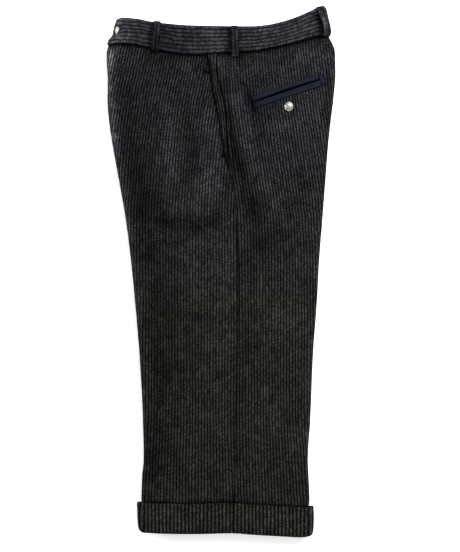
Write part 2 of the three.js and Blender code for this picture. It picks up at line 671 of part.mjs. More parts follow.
function hiddenLayers() {
  const solid = new Solid();
  const rows = HIDDEN_STATIONS.map((at) => {
    const top = hiddenTop(at);
    const front = [top[0], ...hiddenSide(at, true)];
    const back = [top[top.length - 1], ...hiddenSide(at, false)];
    const low = front[front.length - 1];
    const far = back[back.length - 1];
    const bottom = top.map((point) => {
      const share = (point.x - top[0].x) / (top[top.length - 1].x - top[0].x);
      return { x: blend(low.x, far.x, share), z: 0 };
    });
    return { at, top, front, back, bottom };
  });
  const vertex = (at, { x, z }, setBack = 0) => (
    solid.vertex(new THREE.Vector3(x, heightUp(at, x) + setBack, z)));
  const first = rows[0];
  const last = rows[rows.length - 1];
  const setBackOf = (row, level) => {
    if (row === first) return END_LAYERS[level];
    if (row === last) return -END_LAYERS[level];
    return 0;
  };
  const indexed = rows.map((row) => {
    const levels = row.front.length - 1;
    return {
      top: row.top.map((point) => vertex(row.at, point, setBackOf(row, 0))),
      bottom: row.bottom.map((point) => vertex(row.at, point, setBackOf(row, levels))),
      front: row.front.map((point, level) => vertex(row.at, point, setBackOf(row, level))),
      back: row.back.map((point, level) => vertex(row.at, point, setBackOf(row, level))),
    };
  });
  const strip = (low, high) => {
    for (let i = 0; i + 1 < low.length; i += 1) solid.quad(low[i], low[i + 1], high[i + 1], high[i]);
  };
  for (let i = 0; i + 1 < indexed.length; i += 1) {
    strip(indexed[i].top, indexed[i + 1].top);
    strip([...indexed[i].bottom].reverse(), [...indexed[i + 1].bottom].reverse());
    strip([...indexed[i].front].reverse(), [...indexed[i + 1].front].reverse());
    strip(indexed[i].back, indexed[i + 1].back);
  }
  const cap = (row, chain, isFirst) => {
    const levels = row.front.length - 1;
    const columns = row.top.length - 1;
    const shareAcross = row.top.map((point) => (
      (point.x - row.top[0].x) / (row.top[columns].x - row.top[0].x)));
    const grid = row.front.map((unused, level) => row.top.map((alsoUnused, column) => {
      if (level === 0) return chain.top[column];
      if (level === levels) return chain.bottom[column];
      if (column === 0) return chain.front[level];
      if (column === columns) return chain.back[level];
      const u = shareAcross[column];
      const down = 1 - row.front[level].z / row.front[0].z;
      const downBack = 1 - row.back[level].z / row.back[0].z;
      const v = blend(down, downBack, u);
      const x = blend(row.front[level].x, row.back[level].x, u);
      const z = row.top[column].z * (1 - v);
      return vertex(row.at, { x, z }, setBackOf(row, level));
    }));
    for (let level = 0; level < levels; level += 1) {
      const upper = grid[level];
      const lower = grid[level + 1];
      if (isFirst) strip(lower, upper);
      else strip(upper, lower);
    }
  };
  cap(first, indexed[0], true);
  cap(last, indexed[indexed.length - 1], false);
  return solid.geometry();
}

// A strip laid on the cloth: a grid of places on it, each moved out
function laidStrip(spots, outerDepth, innerDepth) {
  const solid = new Solid();
  const rows = spots.map((row, i) => row.map(({ at, run }, j) => ({
    outer: solid.vertex(place(at, run, outerDepth(i, j))),
    inner: solid.vertex(place(at, run, innerDepth(i, j))),
  })));
  for (let i = 0; i + 1 < rows.length; i += 1) {
    for (let j = 0; j + 1 < rows[i].length; j += 1) {
      solid.quad(rows[i][j].outer, rows[i][j + 1].outer, rows[i + 1][j + 1].outer, rows[i + 1][j].outer);
      solid.quad(rows[i + 1][j].inner, rows[i + 1][j + 1].inner, rows[i][j + 1].inner, rows[i][j].inner);
    }
    const end = rows[i].length - 1;
    solid.quad(rows[i][0].inner, rows[i][0].outer, rows[i + 1][0].outer, rows[i + 1][0].inner);
    solid.quad(rows[i][end].outer, rows[i][end].inner, rows[i + 1][end].inner, rows[i + 1][end].outer);
  }
  const lastRow = rows.length - 1;
  for (let j = 0; j + 1 < rows[0].length; j += 1) {
    solid.quad(rows[0][j].inner, rows[0][j + 1].inner, rows[0][j + 1].outer, rows[0][j].outer);
    solid.quad(rows[lastRow][j].outer, rows[lastRow][j + 1].outer,
      rows[lastRow][j + 1].inner, rows[lastRow][j].inner);
  }
  return solid.geometry();
}

// A belt loop, from its foot below the waistband's seam up to the waist. over is its height above the
// panel's face.
const OVER_BAND = BAND_PROUD + BAND_RIB_RISE;
const LOOP_CROWN = [0, 0.5, 0.7, 0.5, 0];

function beltLoop(foot, top, middleRun) {
  const levels = [
    { at: foot, over: RIB_RISE + REST_GAP },
    { at: blend(foot, BAND_SEAM, 0.6), over: RIB_RISE + 1.2 },
    { at: BAND_SEAM + 1, over: OVER_BAND + REST_GAP },
    { at: BAND_SEAM + 10, over: OVER_BAND + 1.8 },
    { at: BAND_SEAM + 20, over: OVER_BAND + 2 },
    { at: BAND_SEAM + 32, over: OVER_BAND + 1.8 },
    { at: BAND_TOP - 3, over: OVER_BAND + 0.9 },
    { at: top, over: OVER_BAND + REST_GAP },
  ];
  const columns = LOOP_CROWN.length - 1;
  const spots = levels.map(({ at }) => LOOP_CROWN.map((unused, j) => (
    { at, run: middleRun(at) + (j / columns - 0.5) * LOOP_WIDTH })));
  return laidStrip(
    spots,
    (i, j) => -levels[i].over - LOOP_WALL - LOOP_CROWN[j],
    (i) => -levels[i].over,
  );
}

// The front loop leans, and the back one follows the fold
const FRONT_LOOP = { foot: 763, footX: -101.5, top: 819, topX: -97.8 };
const SIDE_LOOP = { foot: 765, footX: 23.2, top: 817.5, topX: 21.7 };
const BACK_LOOP = { foot: 771, top: 817.5 };
const BACK_LOOP_INSIDE = [
  { at: 771, run: 13 },
  { at: 780, run: 9.5 },
  { at: 790, run: 9.2 },
  { at: 800, run: 11 },
  { at: 808, run: 13 },
  { at: 817, run: 17 },
];

const leaningLoop = ({ foot, footX, top, topX }) => beltLoop(foot, top, (at) => (
  runAt(at, blend(footX, topX, (at - foot) / (top - foot)))));

const foldLoop = ({ foot, top }) => beltLoop(foot, top, (at) => (
  section(at).width - read(BACK_LOOP_INSIDE, 'at', 'run', at)));

// The back pocket: two welts round a slanted slit, with a round end towards the back fold
const SLIT_FROM = { x: 49.3, y: 673.1 };
const SLIT_TO = { x: 153.5, y: 708.7 };
const WELT_SHARES = [0, 0.12, 0.24, 0.36, 0.48, 0.6, 0.72, 0.84, 0.92, 1];
const WELT_END_STEPS = [0.25, 0.5, 0.72, 0.88, 0.97];
const WELT_ACROSS = 3;
const WELT_CROWN = 0.6;

function welt(isUpper) {
  const length = Math.hypot(SLIT_TO.x - SLIT_FROM.x, SLIT_TO.y - SLIT_FROM.y);
  const slant = Math.atan2(SLIT_TO.y - SLIT_FROM.y, SLIT_TO.x - SLIT_FROM.x);
  const height = isUpper ? UPPER_WELT : LOWER_WELT;
  const sign = isUpper ? 1 : -1;
  const reach = SLIT / 2 + height;
  const columns = [
    ...WELT_SHARES.map((share) => ({ along: share * length, outer: reach })),
    ...WELT_END_STEPS.map((step) => ({ along: length + step * LOWER_WELT,
      outer: Math.max(reach * Math.sqrt(1 - step * step), SLIT) })),
  ];
  const spots = columns.map(({ along, outer }) => (
    Array.from({ length: WELT_ACROSS + 1 }, (unused, j) => {
      const off = sign * blend(SLIT / 2, outer, j / WELT_ACROSS);
      const x = SLIT_FROM.x + along * Math.cos(slant) - Math.sin(slant) * off;
      const y = SLIT_FROM.y + along * Math.sin(slant) + Math.cos(slant) * off;
      const at = stationOf(x, y);
      return { at, run: runAt(at, x) };
    })));
  const rest = -RIB_RISE - REST_GAP;
  const crown = (j) => (j === 0 || j === WELT_ACROSS ? 0 : WELT_CROWN);
  return laidStrip(spots, (i, j) => rest - WELT_WALL - crown(j), () => rest);
}

// A bar tack across the pocket mouth
function barTack(x, y) {
  const spots = [-0.5, 0, 0.5].map((along) => [-0.5, 0.5].map((across) => {
    const at = stationOf(x + TACK_LENGTH * along, y + TACK_HEIGHT * across);
    return { at, run: runAt(at, x + TACK_LENGTH * along) };
  }));
  const rest = -RIB_RISE - REST_GAP;
  return laidStrip(spots, () => rest - TACK_WALL, () => rest);
}

// A domed metal button on a short foot
const BUTTON_FOOT = 3;
const BUTTON_SEGMENTS = 20;

// The lathe's seam and poles are joined, so that the button is one closed solid
function button(radius) {
  const rim = BUTTON_HEIGHT * 0.42;
  const profile = [
    [0, 0], [BUTTON_FOOT, 0], [BUTTON_FOOT, 1], [radius * 0.9, 1.2], [radius, rim],
    [radius * 0.93, rim + 1.1], [radius * 0.66, BUTTON_HEIGHT * 0.88],
    [radius * 0.33, BUTTON_HEIGHT * 0.98], [0, BUTTON_HEIGHT],
  ].map(([r, h]) => new THREE.Vector2(r, h));
  const geometry = new THREE.LatheGeometry(profile, BUTTON_SEGMENTS);
  const solid = new Solid();
  const position = geometry.getAttribute('position');
  const corner = (i) => solid.vertex(new THREE.Vector3().fromBufferAttribute(position, i));
  const index = geometry.getIndex();
  for (let i = 0; i < index.count; i += 3) {
    solid.triangle(corner(index.getX(i)), corner(index.getX(i + 1)), corner(index.getX(i + 2)));
  }
  return solid.geometry();
}

const POCKET_BUTTON = { x: 105.7, y: 666.5 };
const WAIST_BUTTON = { at: 796, run: 6.6 };

// The button's foot stands off the cloth along the direction that the cloth faces
function seatButton(mesh, at, run, above) {
  const reach = BUTTON_FOOT;
  const across = place(at, run + reach, 0).sub(place(at, run - reach, 0));
  const upward = place(at + reach, run, 0).sub(place(at - reach, run, 0));
  const outward = across.cross(upward).normalize();
  mesh.position.copy(place(at, run, 0)).addScaledVector(outward, above);
  mesh.quaternion.setFromUnitVectors(new THREE.Vector3(0, 1, 0), outward);
}

const wool = new THREE.MeshStandardMaterial({ color: 0x2b2b2b, roughness: 0.95, metalness: 0 });
const bandWool = new THREE.MeshStandardMaterial({ color: 0x303034, roughness: 0.95, metalness: 0 });
const innerWool = new THREE.MeshStandardMaterial({ color: 0x222222, roughness: 0.95, metalness: 0 });
const navy = new THREE.MeshStandardMaterial({ color: 0x1e2433, roughness: 0.7, metalness: 0 });
const thread = new THREE.MeshStandardMaterial({ color: 0x16171b, roughness: 0.8, metalness: 0 });
const metal = new THREE.MeshStandardMaterial({ color: 0xb9b9b4, roughness: 0.3, metalness: 0.8 });

const trousers = new THREE.Group();

function add(name, geometry, material) {
  const mesh = new THREE.Mesh(geometry, material);
  mesh.name = name;
  trousers.add(mesh);
  return mesh;
}

add('hidden_layers', hiddenLayers(), innerWool);
add('front_panel', frontPanel(), wool);
add('back_panel', backPanel(), wool);
add('pocket_facing', pocketFacing(), wool);
add('waistband', waistband(), bandWool);
add('cuff_front', cuff(true), wool);
add('cuff_back', cuff(false), wool);
add('loop_front', leaningLoop(FRONT_LOOP), bandWool);
add('loop_side', leaningLoop(SIDE_LOOP), bandWool);
add('loop_back', foldLoop(BACK_LOOP), bandWool);
add('welt_upper', welt(true), navy);
add('welt_lower', welt(false), navy);
add('bar_tack_top', barTack(-21, 720.8), thread);
add('bar_tack_bottom', barTack(6, 590.5), thread);

const pocketStation = stationOf(POCKET_BUTTON.x, POCKET_BUTTON.y);
seatButton(add('button_pocket', button(POCKET_BUTTON_RADIUS), metal), pocketStation,
  runAt(pocketStation, POCKET_BUTTON.x), RIB_RISE + REST_GAP);
seatButton(add('button_waist', button(WAIST_BUTTON_RADIUS), metal), WAIST_BUTTON.at, WAIST_BUTTON.run,
  OVER_BAND + REST_GAP * 3);

// The garment's own middle over the surface becomes the origin
const bounds = new THREE.Box3().setFromObject(trousers, true);
const middle = bounds.getCenter(new THREE.Vector3());
trousers.position.set(-middle.x, -middle.y, -bounds.min.z);

export default trousers;
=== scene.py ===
"""Cropped ribbed wool trousers, folded in half lengthwise and laid flat on their side.

The cloth pieces are thin walls worked out from the garment's sections: at each station, the
distance from the hem, a section runs across the garment from the front fold to the back fold. A
point on it has a run, the length along the cloth from the front fold, and a depth below the outer
face. Sizes here are in millimetres unless a name says otherwise, and meshes are in metres.
"""
import logging
import math
from dataclasses import dataclass, field
from enum import Enum
from typing import Callable, Sequence

import bmesh
import bpy
import numpy as np
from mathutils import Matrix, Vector


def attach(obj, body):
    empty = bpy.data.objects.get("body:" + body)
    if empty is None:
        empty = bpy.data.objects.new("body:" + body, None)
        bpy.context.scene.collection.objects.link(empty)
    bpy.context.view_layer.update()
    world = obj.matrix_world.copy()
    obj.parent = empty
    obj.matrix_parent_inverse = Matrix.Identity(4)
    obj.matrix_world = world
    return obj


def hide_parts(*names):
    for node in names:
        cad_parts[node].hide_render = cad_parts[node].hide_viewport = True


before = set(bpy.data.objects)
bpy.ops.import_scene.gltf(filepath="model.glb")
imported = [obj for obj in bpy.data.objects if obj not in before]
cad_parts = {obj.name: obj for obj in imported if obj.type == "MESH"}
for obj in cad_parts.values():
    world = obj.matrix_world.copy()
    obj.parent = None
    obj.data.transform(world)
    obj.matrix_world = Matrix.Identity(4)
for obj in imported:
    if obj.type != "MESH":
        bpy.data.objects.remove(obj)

log = logging.getLogger("trousers")

Socket = bpy.types.NodeSocket
Material = bpy.types.Material
Piece = bpy.types.Object
Two = tuple[float, float]
Three = tuple[float, float, float]
Four = tuple[float, float, float, float]

MM = 0.001
ROOT = "root"
# Where the hem's middle line lies in the frame
SHIFT_X = -0.837227
SHIFT_Y = -410.363003

CUFF_TOP = 50.0
BAND_SEAM = 773.0
BAND_TOP = 817.0
CLOTH = 2.2
SEAM_GAP = 0.3
LAYER_GAP = 0.6
RIB_PITCH = 4.57
RIB_RISE = 0.8
BAND_PROUD = 1.5
BAND_RIB_PITCH = 6.2
CUFF_RIB_PITCH = 5.4
FACING_DEPTH = 1.3
POCKET_FOOT = 566.0
# About how far apart the points of a plain inner face are, and the station whose width sets their number
PLAIN_STEP = 6.0
MIDDLE_STATION = 500.0
# How much of a cloth's lightness the full painted shade of a seam or an edge takes away
FULL_SHADE = 0.93


class Side(Enum):
    """The two edges of the folded garment."""

    FRONT = "front"
    BACK = "back"


class Slot(Enum):
    """The record's material slots."""

    CLOTH = "cloth"
    BAND = "band"
    INNER = "inner"
    WELT = "welt"
    THREAD = "thread"
    METAL = "metal"


# ---- Curves through the rows of short tables ----


@dataclass
class Curve:
    """A smooth line through table rows, without overshoot.

    Args:
        keys: The places of the rows, growing.
        values: The value at each place.
    """

    keys: np.ndarray
    values: np.ndarray

    def __post_init__(self) -> None:
        """Works out the slope of the line at each row."""
        slope = np.diff(self.values) / np.diff(self.keys)
        product = slope[:-1] * slope[1:]
        total = np.where(product > 0, slope[:-1] + slope[1:], 1.0)
        inner = np.where(product > 0, 2 * product / total, 0.0)
        self.tangents = np.concatenate([slope[:1], inner, slope[-1:]])

    def __call__(self, place: float | np.ndarray) -> np.ndarray:
        """Reads the line.

        Args:
            place: Where to read it.

        Returns:
            The value there.
        """
        at = np.clip(np.asarray(place, float), self.keys[0], self.keys[-1])
        row = np.clip(np.searchsorted(self.keys, at, side="right") - 1, 0, len(self.keys) - 2)
        span = self.keys[row + 1] - self.keys[row]
        u = (at - self.keys[row]) / span
        level = self.values[row] + (self.values[row + 1] - self.values[row]) * u * u * (3 - 2 * u)
        bend = (1 - u) * self.tangents[row] - u * self.tangents[row + 1]
        return level + span * u * (1 - u) * bend


def curves(columns: Sequence[str], rows: Sequence[Sequence[float]]) -> dict[str, Curve]:
    """Makes a curve for each column of a table.

    Args:
        columns: The names of the columns; the first is the place.
        rows: The rows, in growing order of place.

    Returns:
        The curve of each column but the first.
    """
    table = np.asarray(rows, float).T
    return {name: Curve(table[0], table[i + 1]) for i, name in enumerate(columns[1:])}


def ease(share: float | np.ndarray) -> np.ndarray:
    """Turns a share from 0 to 1 into one that starts and ends gently."""
    share = np.clip(share, 0.0, 1.0)
    return share * share * (3 - 2 * share)


def bell(distance: float | np.ndarray, reach: float) -> np.ndarray:
    """Gives a share that is 1 at no distance and fades away over a reach."""
    return np.exp(-(distance / reach) ** 2)


def rounded(distance: float, reach: float) -> float:
    """Gives the height of a rounded edge, from 0 at the edge to 1 a reach away from it."""
    return math.sqrt(max(0.0, 1 - (1 - min(distance / reach, 1)) ** 2))


# ---- The garment's form ----

# The front and the back fold
OUTLINE = curves(("at", "front", "back"), (
    (0, -121.6, 138.4), (4, -123.4, 140.2), (10, -124.6, 140.9), (20, -125.3, 141.4), (34, -126, 141.5),
    (50, -127.2, 141.3), (50.1, -122.7, 137.6), (59, -122.4, 137.8), (90, -121.6, 136.6),
    (120, -118.9, 135.3), (182, -120.1, 139.1), (274, -124.8, 142.7), (367, -132.5, 149.4),
    (429, -138.7, 152.8), (491, -146.5, 157.8), (553, -157.3, 162.6), (615, -168.3, 167.5),
    (648, -172.8, 171.3), (682, -175.2, 175.6), (716, -175, 178.3), (749, -176.6, 177.6),
    (760, -176.7, 174.4), (773, -174.2, 168), (780, -173.2, 167), (785, -169.8, 166),
    (789, -162.4, 165), (792.5, -158, 164.2), (796, -157.2, 163.4), (800, -157.4, 162.8),
    (804, -159.4, 162.6), (808, -162.3, 162.4), (812.5, -161.2, 162.4), (817, -156.8, 161.6),
))

# The rolls at the folds, the crown of the upper leg, and the lower leg's rim
FORM = curves(("at", "front_roll", "back_roll", "roll", "rim", "crown", "tuck", "lobe_rim", "front_inset",
               "back_inset"), (
    (0, 6, 6, 6, 15, 22.5, 7, 4.5, 1.5, 2),
    (12, 6.5, 6.5, 6.5, 16, 24, 8, 5, 1, 1.5),
    (50, 6.5, 6.5, 6.5, 16, 24, 8, 5, 1, 1.5),
    (90, 7, 7, 7, 17.5, 26, 9, 5.5, 1, 1.5),
    (120, 7, 7, 7, 18, 27, 9, 5.5, 1.5, 2),
    (182, 7.5, 7.5, 7.5, 19, 28, 9, 6, 2, 2),
    (274, 7.5, 7.5, 7.5, 20, 29.5, 9, 6, 1.5, 2),
    (367, 7.5, 7.5, 7.5, 20.5, 31, 9, 6.5, 1.5, 1.5),
    (429, 8, 8, 8, 20.5, 32, 8, 6.5, 1, 1.5),
    (491, 8, 8, 9, 19.5, 33, 5, 7, 1, 1),
    (553, 8.5, 8.5, 10, 18.5, 34, 2, 7.5, 0.5, 0.5),
    (615, 9, 8.5, 11, 18, 34.5, 1, 8, 0.2, 0.2),
    (677, 9, 8.5, 11, 17.5, 34, 1, 8, 0.2, 0.2),
    (739, 9, 8.5, 11, 16.5, 32, 1, 7.5, 0, 0.2),
    (773, 9.5, 8.5, 12, 15, 30, 1, 7, -0.5, 0.2),
    (785, 11, 8.5, 12.5, 14.5, 29.2, 1, 6.5, -2.5, 0.2),
    (789, 11.5, 8.5, 12.8, 14.3, 29, 1, 6.5, -7.8, 0.2),
    (796, 12, 8.5, 13, 14, 28.5, 1, 6.5, -10.2, 0.2),
    (804, 12, 8.5, 13, 13.6, 28, 1, 6.3, -6.8, 0.2),
    (808, 12, 8.5, 13, 13.4, 27.7, 1, 6.2, -2.7, 0.2),
    (817, 11, 8.5, 12.5, 13, 27, 1, 6, -1, 0.2),
))

# The edge of the pocket mouth and the side seam, which meet below the pocket
SIDE_LINES = curves(("at", "mouth", "seam"), (
    (0, 17.8, 17.8), (57, 20.9, 20.9), (212, 24, 24), (320, 27, 27), (400, 27, 27), (470, 25.5, 25.5),
    (500, 23.5, 23.5), (520, 21.5, 21.5), (540, 19, 19), (560, 15.2, 16), (575, 10.4, 13.8),
    (590, 6, 12), (612, 3.1, 10.2), (624, 0.8, 9.6), (641, -0.9, 9.2), (660, -3.9, 8.2),
    (676, -7, 6.3), (692, -9.8, 4.5), (708, -12.4, 1), (728, -14.8, -3.8), (747, -17, -6.2),
    (767, -20.9, -5.4), (773, -21.7, -4.4),
))

# How far the band's seam, the band's top and the hem stray from straight lines across the garment
STRAY = curves(("across", "band", "waist", "hem"), (
    (0, -9.8, -10.4, 2.4), (0.05, -7.8, -11.8, 1.6), (0.1, -8.8, -13.8, 1), (0.142, -11.6, -16.8, 0.6),
    (0.2, -16, -19.4, 0.3), (0.25, -19.4, -21.2, 0.2), (0.33, -24, -23.2, 0.3), (0.4, -25.2, -24, 0.6),
    (0.5, -22.6, -24.4, 1.4), (0.56, -21.6, -24.8, 1.2), (0.64, -20.4, -24.8, -0.4),
    (0.72, -16.4, -22.6, -1.8), (0.8, -10.4, -17, -2.9), (0.87, -4.2, -9.4, -4), (0.93, 1.8, -1, -4.9),
    (0.97, 4, 5, -4.6), (1, 4.6, 6.8, -3.7),
))
WAIST_STRAY_FROM = 600.0
HEM_STRAY_TO = 130.0
HEM_LIFT = curves(("at", "lift"), ((0, 3.3), (50, 0.7), (120, 0)))["lift"]

# How far the ribs of each panel lean sideways, and how they fan out at the hem
RIBS = curves(("at", "front", "back", "fan"), (
    (50, 2, 0, 1.07), (120, 0.5, 0, 1.03), (200, 0, 0, 1), (420, 0, -0.5, 1), (497, 0, -3, 1),
    (553, 2.5, -10, 1), (615, 7.5, -18.5, 0.995), (677, 13.5, -25, 0.98), (739, 22, -28.5, 0.955),
    (773, 26, -29.5, 0.94),
))


@dataclass(frozen=True)
class Fold:
    """A soft ridge or trough along a line through three places.

    Args:
        start: Where it begins.
        bend: Where it bends.
        end: Where it ends.
        width: Its half-width.
        rise: How far it lifts the cloth, or sinks it if negative.
    """

    start: Two
    bend: Two
    end: Two
    width: float
    rise: float

    def lift(self, x: np.ndarray, y: np.ndarray) -> np.ndarray:
        """Gives the fold's rise at places on the garment.

        Args:
            x: Across the garment.
            y: Up the garment.

        Returns:
            The rise at each place.
        """
        near = np.minimum(
            distance_to_segment(x, y, self.start, self.bend),
            distance_to_segment(x, y, self.bend, self.end),
        )
        return self.rise * bell(near, self.width)


def distance_to_segment(x: np.ndarray, y: np.ndarray, a: Two, b: Two) -> np.ndarray:
    """Measures how far places lie from a straight stretch.

    Args:
        x: Across the garment.
        y: Up the garment.
        a: One end of the stretch.
        b: The other end.

    Returns:
        The distance of each place.
    """
    ax, ay = a
    bx, by = b
    along = ((x - ax) * (bx - ax) + (y - ay) * (by - ay)) / ((bx - ax) ** 2 + (by - ay) ** 2)
    near = np.clip(along, 0, 1)
    return np.hypot(x - (ax + (bx - ax) * near), y - (ay + (by - ay) * near))


def folds(rows: Sequence[tuple[float, ...]]) -> tuple[Fold, ...]:
    """Makes folds from rows: x and y of start, bend and end, then the half-width and the rise."""
    return tuple(Fold(row[0:2], row[2:4], row[4:6], row[6], row[7]) for row in rows)


# The largest folds, which the solids have too
FOLDS = folds((
    (-106, 670, -106, 600, -98, 538, 13, 2.4), (-53, 670, -47, 600, -53, 546, 13, -2.6),
    (-21, 662, -19, 600, -19, 530, 15, 2.8), (-91, 525, -60, 507, -24, 513, 12, 1.6),
    (-89, 485, -47, 476, -7, 488, 10, -2.8), (-38, 445, -29, 406, -13, 367, 26, 2.6),
    (-66, 355, -32, 337, 12, 340, 9, -2.2), (-143, 677, -125, 522, -102, 367, 13, -1.8),
    (-102, 367, -100, 212, -103, 88, 14, -2.2), (27, 460, 30, 290, 30, 104, 11, -1.8),
    (12, 662, 26, 577, 50, 510, 10, -2.2), (50, 510, 60, 480, 66, 450, 11, -1.8),
    (46, 605, 64, 546, 95, 479, 11, 2), (100, 360, 123, 329, 150, 305, 15, 1.4),
))

# Smaller creases that only the dressed cloth has
CREASES = folds((
    (99, 742, 119, 752, 139, 743, 4, -1.1), (92, 733, 118, 741, 146, 733, 6, 0.7),
    (4, 740, 26, 676, 46, 612, 6, 0.9), (102, 74, 116, 76, 130, 73, 4, -0.9),
    (-60, 338, -49, 343, -38, 349, 6, -0.8), (-95, 262, -84, 258, -74, 262, 8, -1.3),
    (-112, 112, -102, 106, -94, 100, 8, -1.4), (-90, 128, -76, 116, -64, 110, 7, 0.9),
    (-150, 590, -138, 560, -128, 520, 9, -0.8), (60, 190, 88, 184, 120, 192, 12, 0.9),
    (52, 236, 86, 232, 118, 240, 9, -0.8),
))

# Painted light and shade on the cloth's colour: lighter strokes where light falls on folds and rims, darker
# ones where shade falls; the last number is the natural logarithm of the change at the middle of each
# stroke
PAINTED_LIGHT_STROKES = folds((
    # The front of the leg, from the hip down
    (-78, 668, -78, 610, -75, 560, 9, 0.42), (-116, 700, -113, 600, -99, 510, 12, -0.28),
    (-95, 532, -66, 510, -34, 514, 12, 0.26), (-21, 655, -20, 600, -21, 530, 13, 0.36),
    (-6, 628, 0, 580, -4, 525, 9, 0.4), (-15, 650, -10, 600, -16, 535, 10, 0.18),
    (-94, 520, -90, 490, -84, 458, 10, -0.32), (-12, 410, 4, 400, 18, 405, 14, 0.2),
    (-24, 456, -24, 452, -23, 446, 8, 0.22), (-110, 122, -98, 126, -88, 130, 8, -0.32),
    (-56, 655, -47, 600, -56, 560, 10, -0.26), (-39, 600, -39, 584, -40, 565, 9, -0.18),
    (-86, 488, -47, 478, -9, 488, 11, -0.6), (-146, 690, -137, 600, -126, 500, 13, -0.5),
    (-126, 500, -123, 480, -120, 440, 13, -0.3), (-115, 522, -103, 400, -98, 280, 16, -0.36),
    (-80, 370, -80, 290, -80, 215, 9, -0.32), (-90, 256, -86, 250, -82, 246, 8, -0.3),
    (-98, 280, -98, 200, -104, 90, 15, -0.38), (-84, 170, -72, 130, -60, 100, 8, -0.24),
    (-134, 750, -94, 742, -47, 742, 9, -0.16), (-58, 440, -50, 410, -44, 380, 9, 0.3),
    (-38, 445, -32, 406, -24, 367, 20, 0.24), (5, 440, 8, 400, 8, 362, 12, 0.24),
    (20, 470, 21, 420, 22, 366, 6, 0.3), (-8, 356, -8, 330, -8, 300, 7, 0.3),
    (-4, 306, 6, 296, 20, 296, 10, 0.24), (-78, 355, -47, 340, -9, 333, 8, -0.34),
    (-82, 260, -80, 258, -70, 262, 11, -0.28), (-106, 116, -104, 106, -100, 100, 12, -0.36),
    (-96, 95, -94, 91, -91, 88, 6, 0.4), (6, 24, 14, 16, 22, 10, 6, 0.28),
    # The back of the leg
    (27, 677, 46, 600, 74, 530, 9, 0.38), (18, 682, 23, 662, 27, 642, 5.5, 0.45),
    (38, 612, 44, 604, 50, 596, 8, 0.25), (94, 522, 98, 505, 102, 490, 12, 0.22),
    (32, 530, 36, 515, 44, 500, 7, -0.35), (62, 305, 66, 292, 72, 282, 10, 0.25),
    (44, 682, 52, 672, 58, 664, 7, -0.3), (128, 668, 142, 666, 156, 668, 8, 0.3),
    (5, 702, 8, 696, 10, 688, 5, -0.35), (12, 655, 24, 577, 49, 515, 9, -0.3),
    (49, 515, 61, 476, 64, 450, 12, -0.6), (108, 724, 139, 739, 160, 708, 13, 0.34),
    (100, 760, 138, 754, 168, 742, 8, 0.32), (132, 682, 144, 686, 156, 690, 9, 0.34),
    (94, 650, 97, 600, 100, 560, 10, 0.2), (122, 646, 131, 600, 150, 574, 26, 0.22),
    (114, 358, 128, 335, 140, 325, 18, 0.18), (88, 350, 104, 336, 118, 322, 12, 0.2),
    (76, 184, 100, 166, 124, 158, 13, 0.3), (88, 118, 92, 106, 96, 96, 9, 0.2),
    (120, 78, 116, 74, 112, 72, 5, -0.3), (28, 470, 31, 290, 31, 90, 9, -0.2),
    (44, 325, 48, 280, 58, 200, 8, -0.28),
    # Painted light along the rims of both folds
    (-160, 806, -162, 780, -166, 750, 13, 0.6), (-173, 752, -173, 700, -165, 620, 8, 1.0),
    (-165, 620, -152, 540, -142, 460, 5, 0.6), (-138, 440, -132, 390, -128, 330, 4, 0.3),
    (-122, 240, -120, 180, -121, 130, 4, 0.35), (177, 740, 178, 710, 174, 660, 5, 0.3),
    (157, 520, 152, 450, 149, 390, 5, 0.36), (138, 300, 136, 200, 136, 95, 4, 0.28),
    # Painted shadows beside the loops, the pockets and the side seam, with a few painted lights
    (-95, 775, -76, 772, -54, 772, 14, -0.4), (16, 797, 22, 770, 31, 748, 13, -0.35),
    (72, 783, 95, 786, 125, 796, 11, 0.26), (150, 806, 155.5, 790, 153, 776, 3.0, -0.9),
    (159, 810, 161.5, 790, 158.5, 780, 1.8, 0.5), (-110.5, 762, -109, 780, -106, 800, 2.6, -1.0),
    (13, 744, 13, 765, 12.5, 790, 3.4, -1.1), (31, 742, 30.5, 750, 30.5, 758, 2.4, -0.6),
    (-112, 748, -100, 738, -88, 742, 6, -0.35), (52, 662, 48.5, 672, 45.5, 683, 3.2, -0.9),
    (51, 660, 51, 648, 51.5, 634, 1.4, -0.8), (12.4, 676, 15.2, 648, 18.4, 628, 2.2, -0.5),
    (19.4, 622, 25.5, 589, 35.5, 561, 5.5, -0.75), (165, 722, 170, 712, 166, 700, 2.4, -0.7),
    (-12, 748, -8, 738, -6, 728, 5, 0.45), (-7, 740, 9, 720, 27, 677, 7, 0.3),
    # Smaller patches of painted light and shade all over
    (-175, 692, -174, 722, -166, 753, 6, 0.5), (-158, 806, -157, 794, -158, 780, 7, 0.5),
    (-40, 808, -41, 796, -43, 784, 8, 0.3), (-98, 770, -99, 762, -101, 754, 7, -0.45),
    (-47, 744, -47, 738, -48, 730, 9, 0.25), (84, 730, 85, 716, 84, 702, 9, 0.27),
    (156, 684, 154, 662, 152, 636, 8, 0.24), (12, 672, 13, 636, 14, 596, 7, 0.26),
    (-24, 560, -26, 532, -36, 524, 10, 0.22), (-30, 312, -20, 288, 2, 272, 13, 0.2),
    (-36, 248, -31, 239, -26, 230, 9, 0.22), (70, 158, 92, 150, 116, 138, 12, 0.28),
    (46, 30, 64, 34, 84, 32, 10, 0.2), (110, 372, 124, 364, 136, 360, 9, -0.3),
    (49, 556, 50, 540, 52, 524, 8, -0.25), (-122, 574, -124, 554, -122, 536, 9, -0.25),
    (-66, 104, -67, 88, -70, 70, 8, -0.22), (-29, 734, -29, 720, -28, 708, 9, -0.28),
    (54, 696, 53, 680, 54, 664, 8, -0.22), (-26, 720.8, -21, 720.8, -16.5, 721.4, 2.2, -0.9),
    (1.4, 590, 6, 590.5, 11, 591, 2.6, -0.9), (149.5, 809, 155, 796, 157.5, 778, 3, -1.5),
    (152, 814, 160.5, 798, 162.5, 781, 1.6, 0.55), (-108, 757, -103, 753, -96, 753, 4.5, -0.7),
))


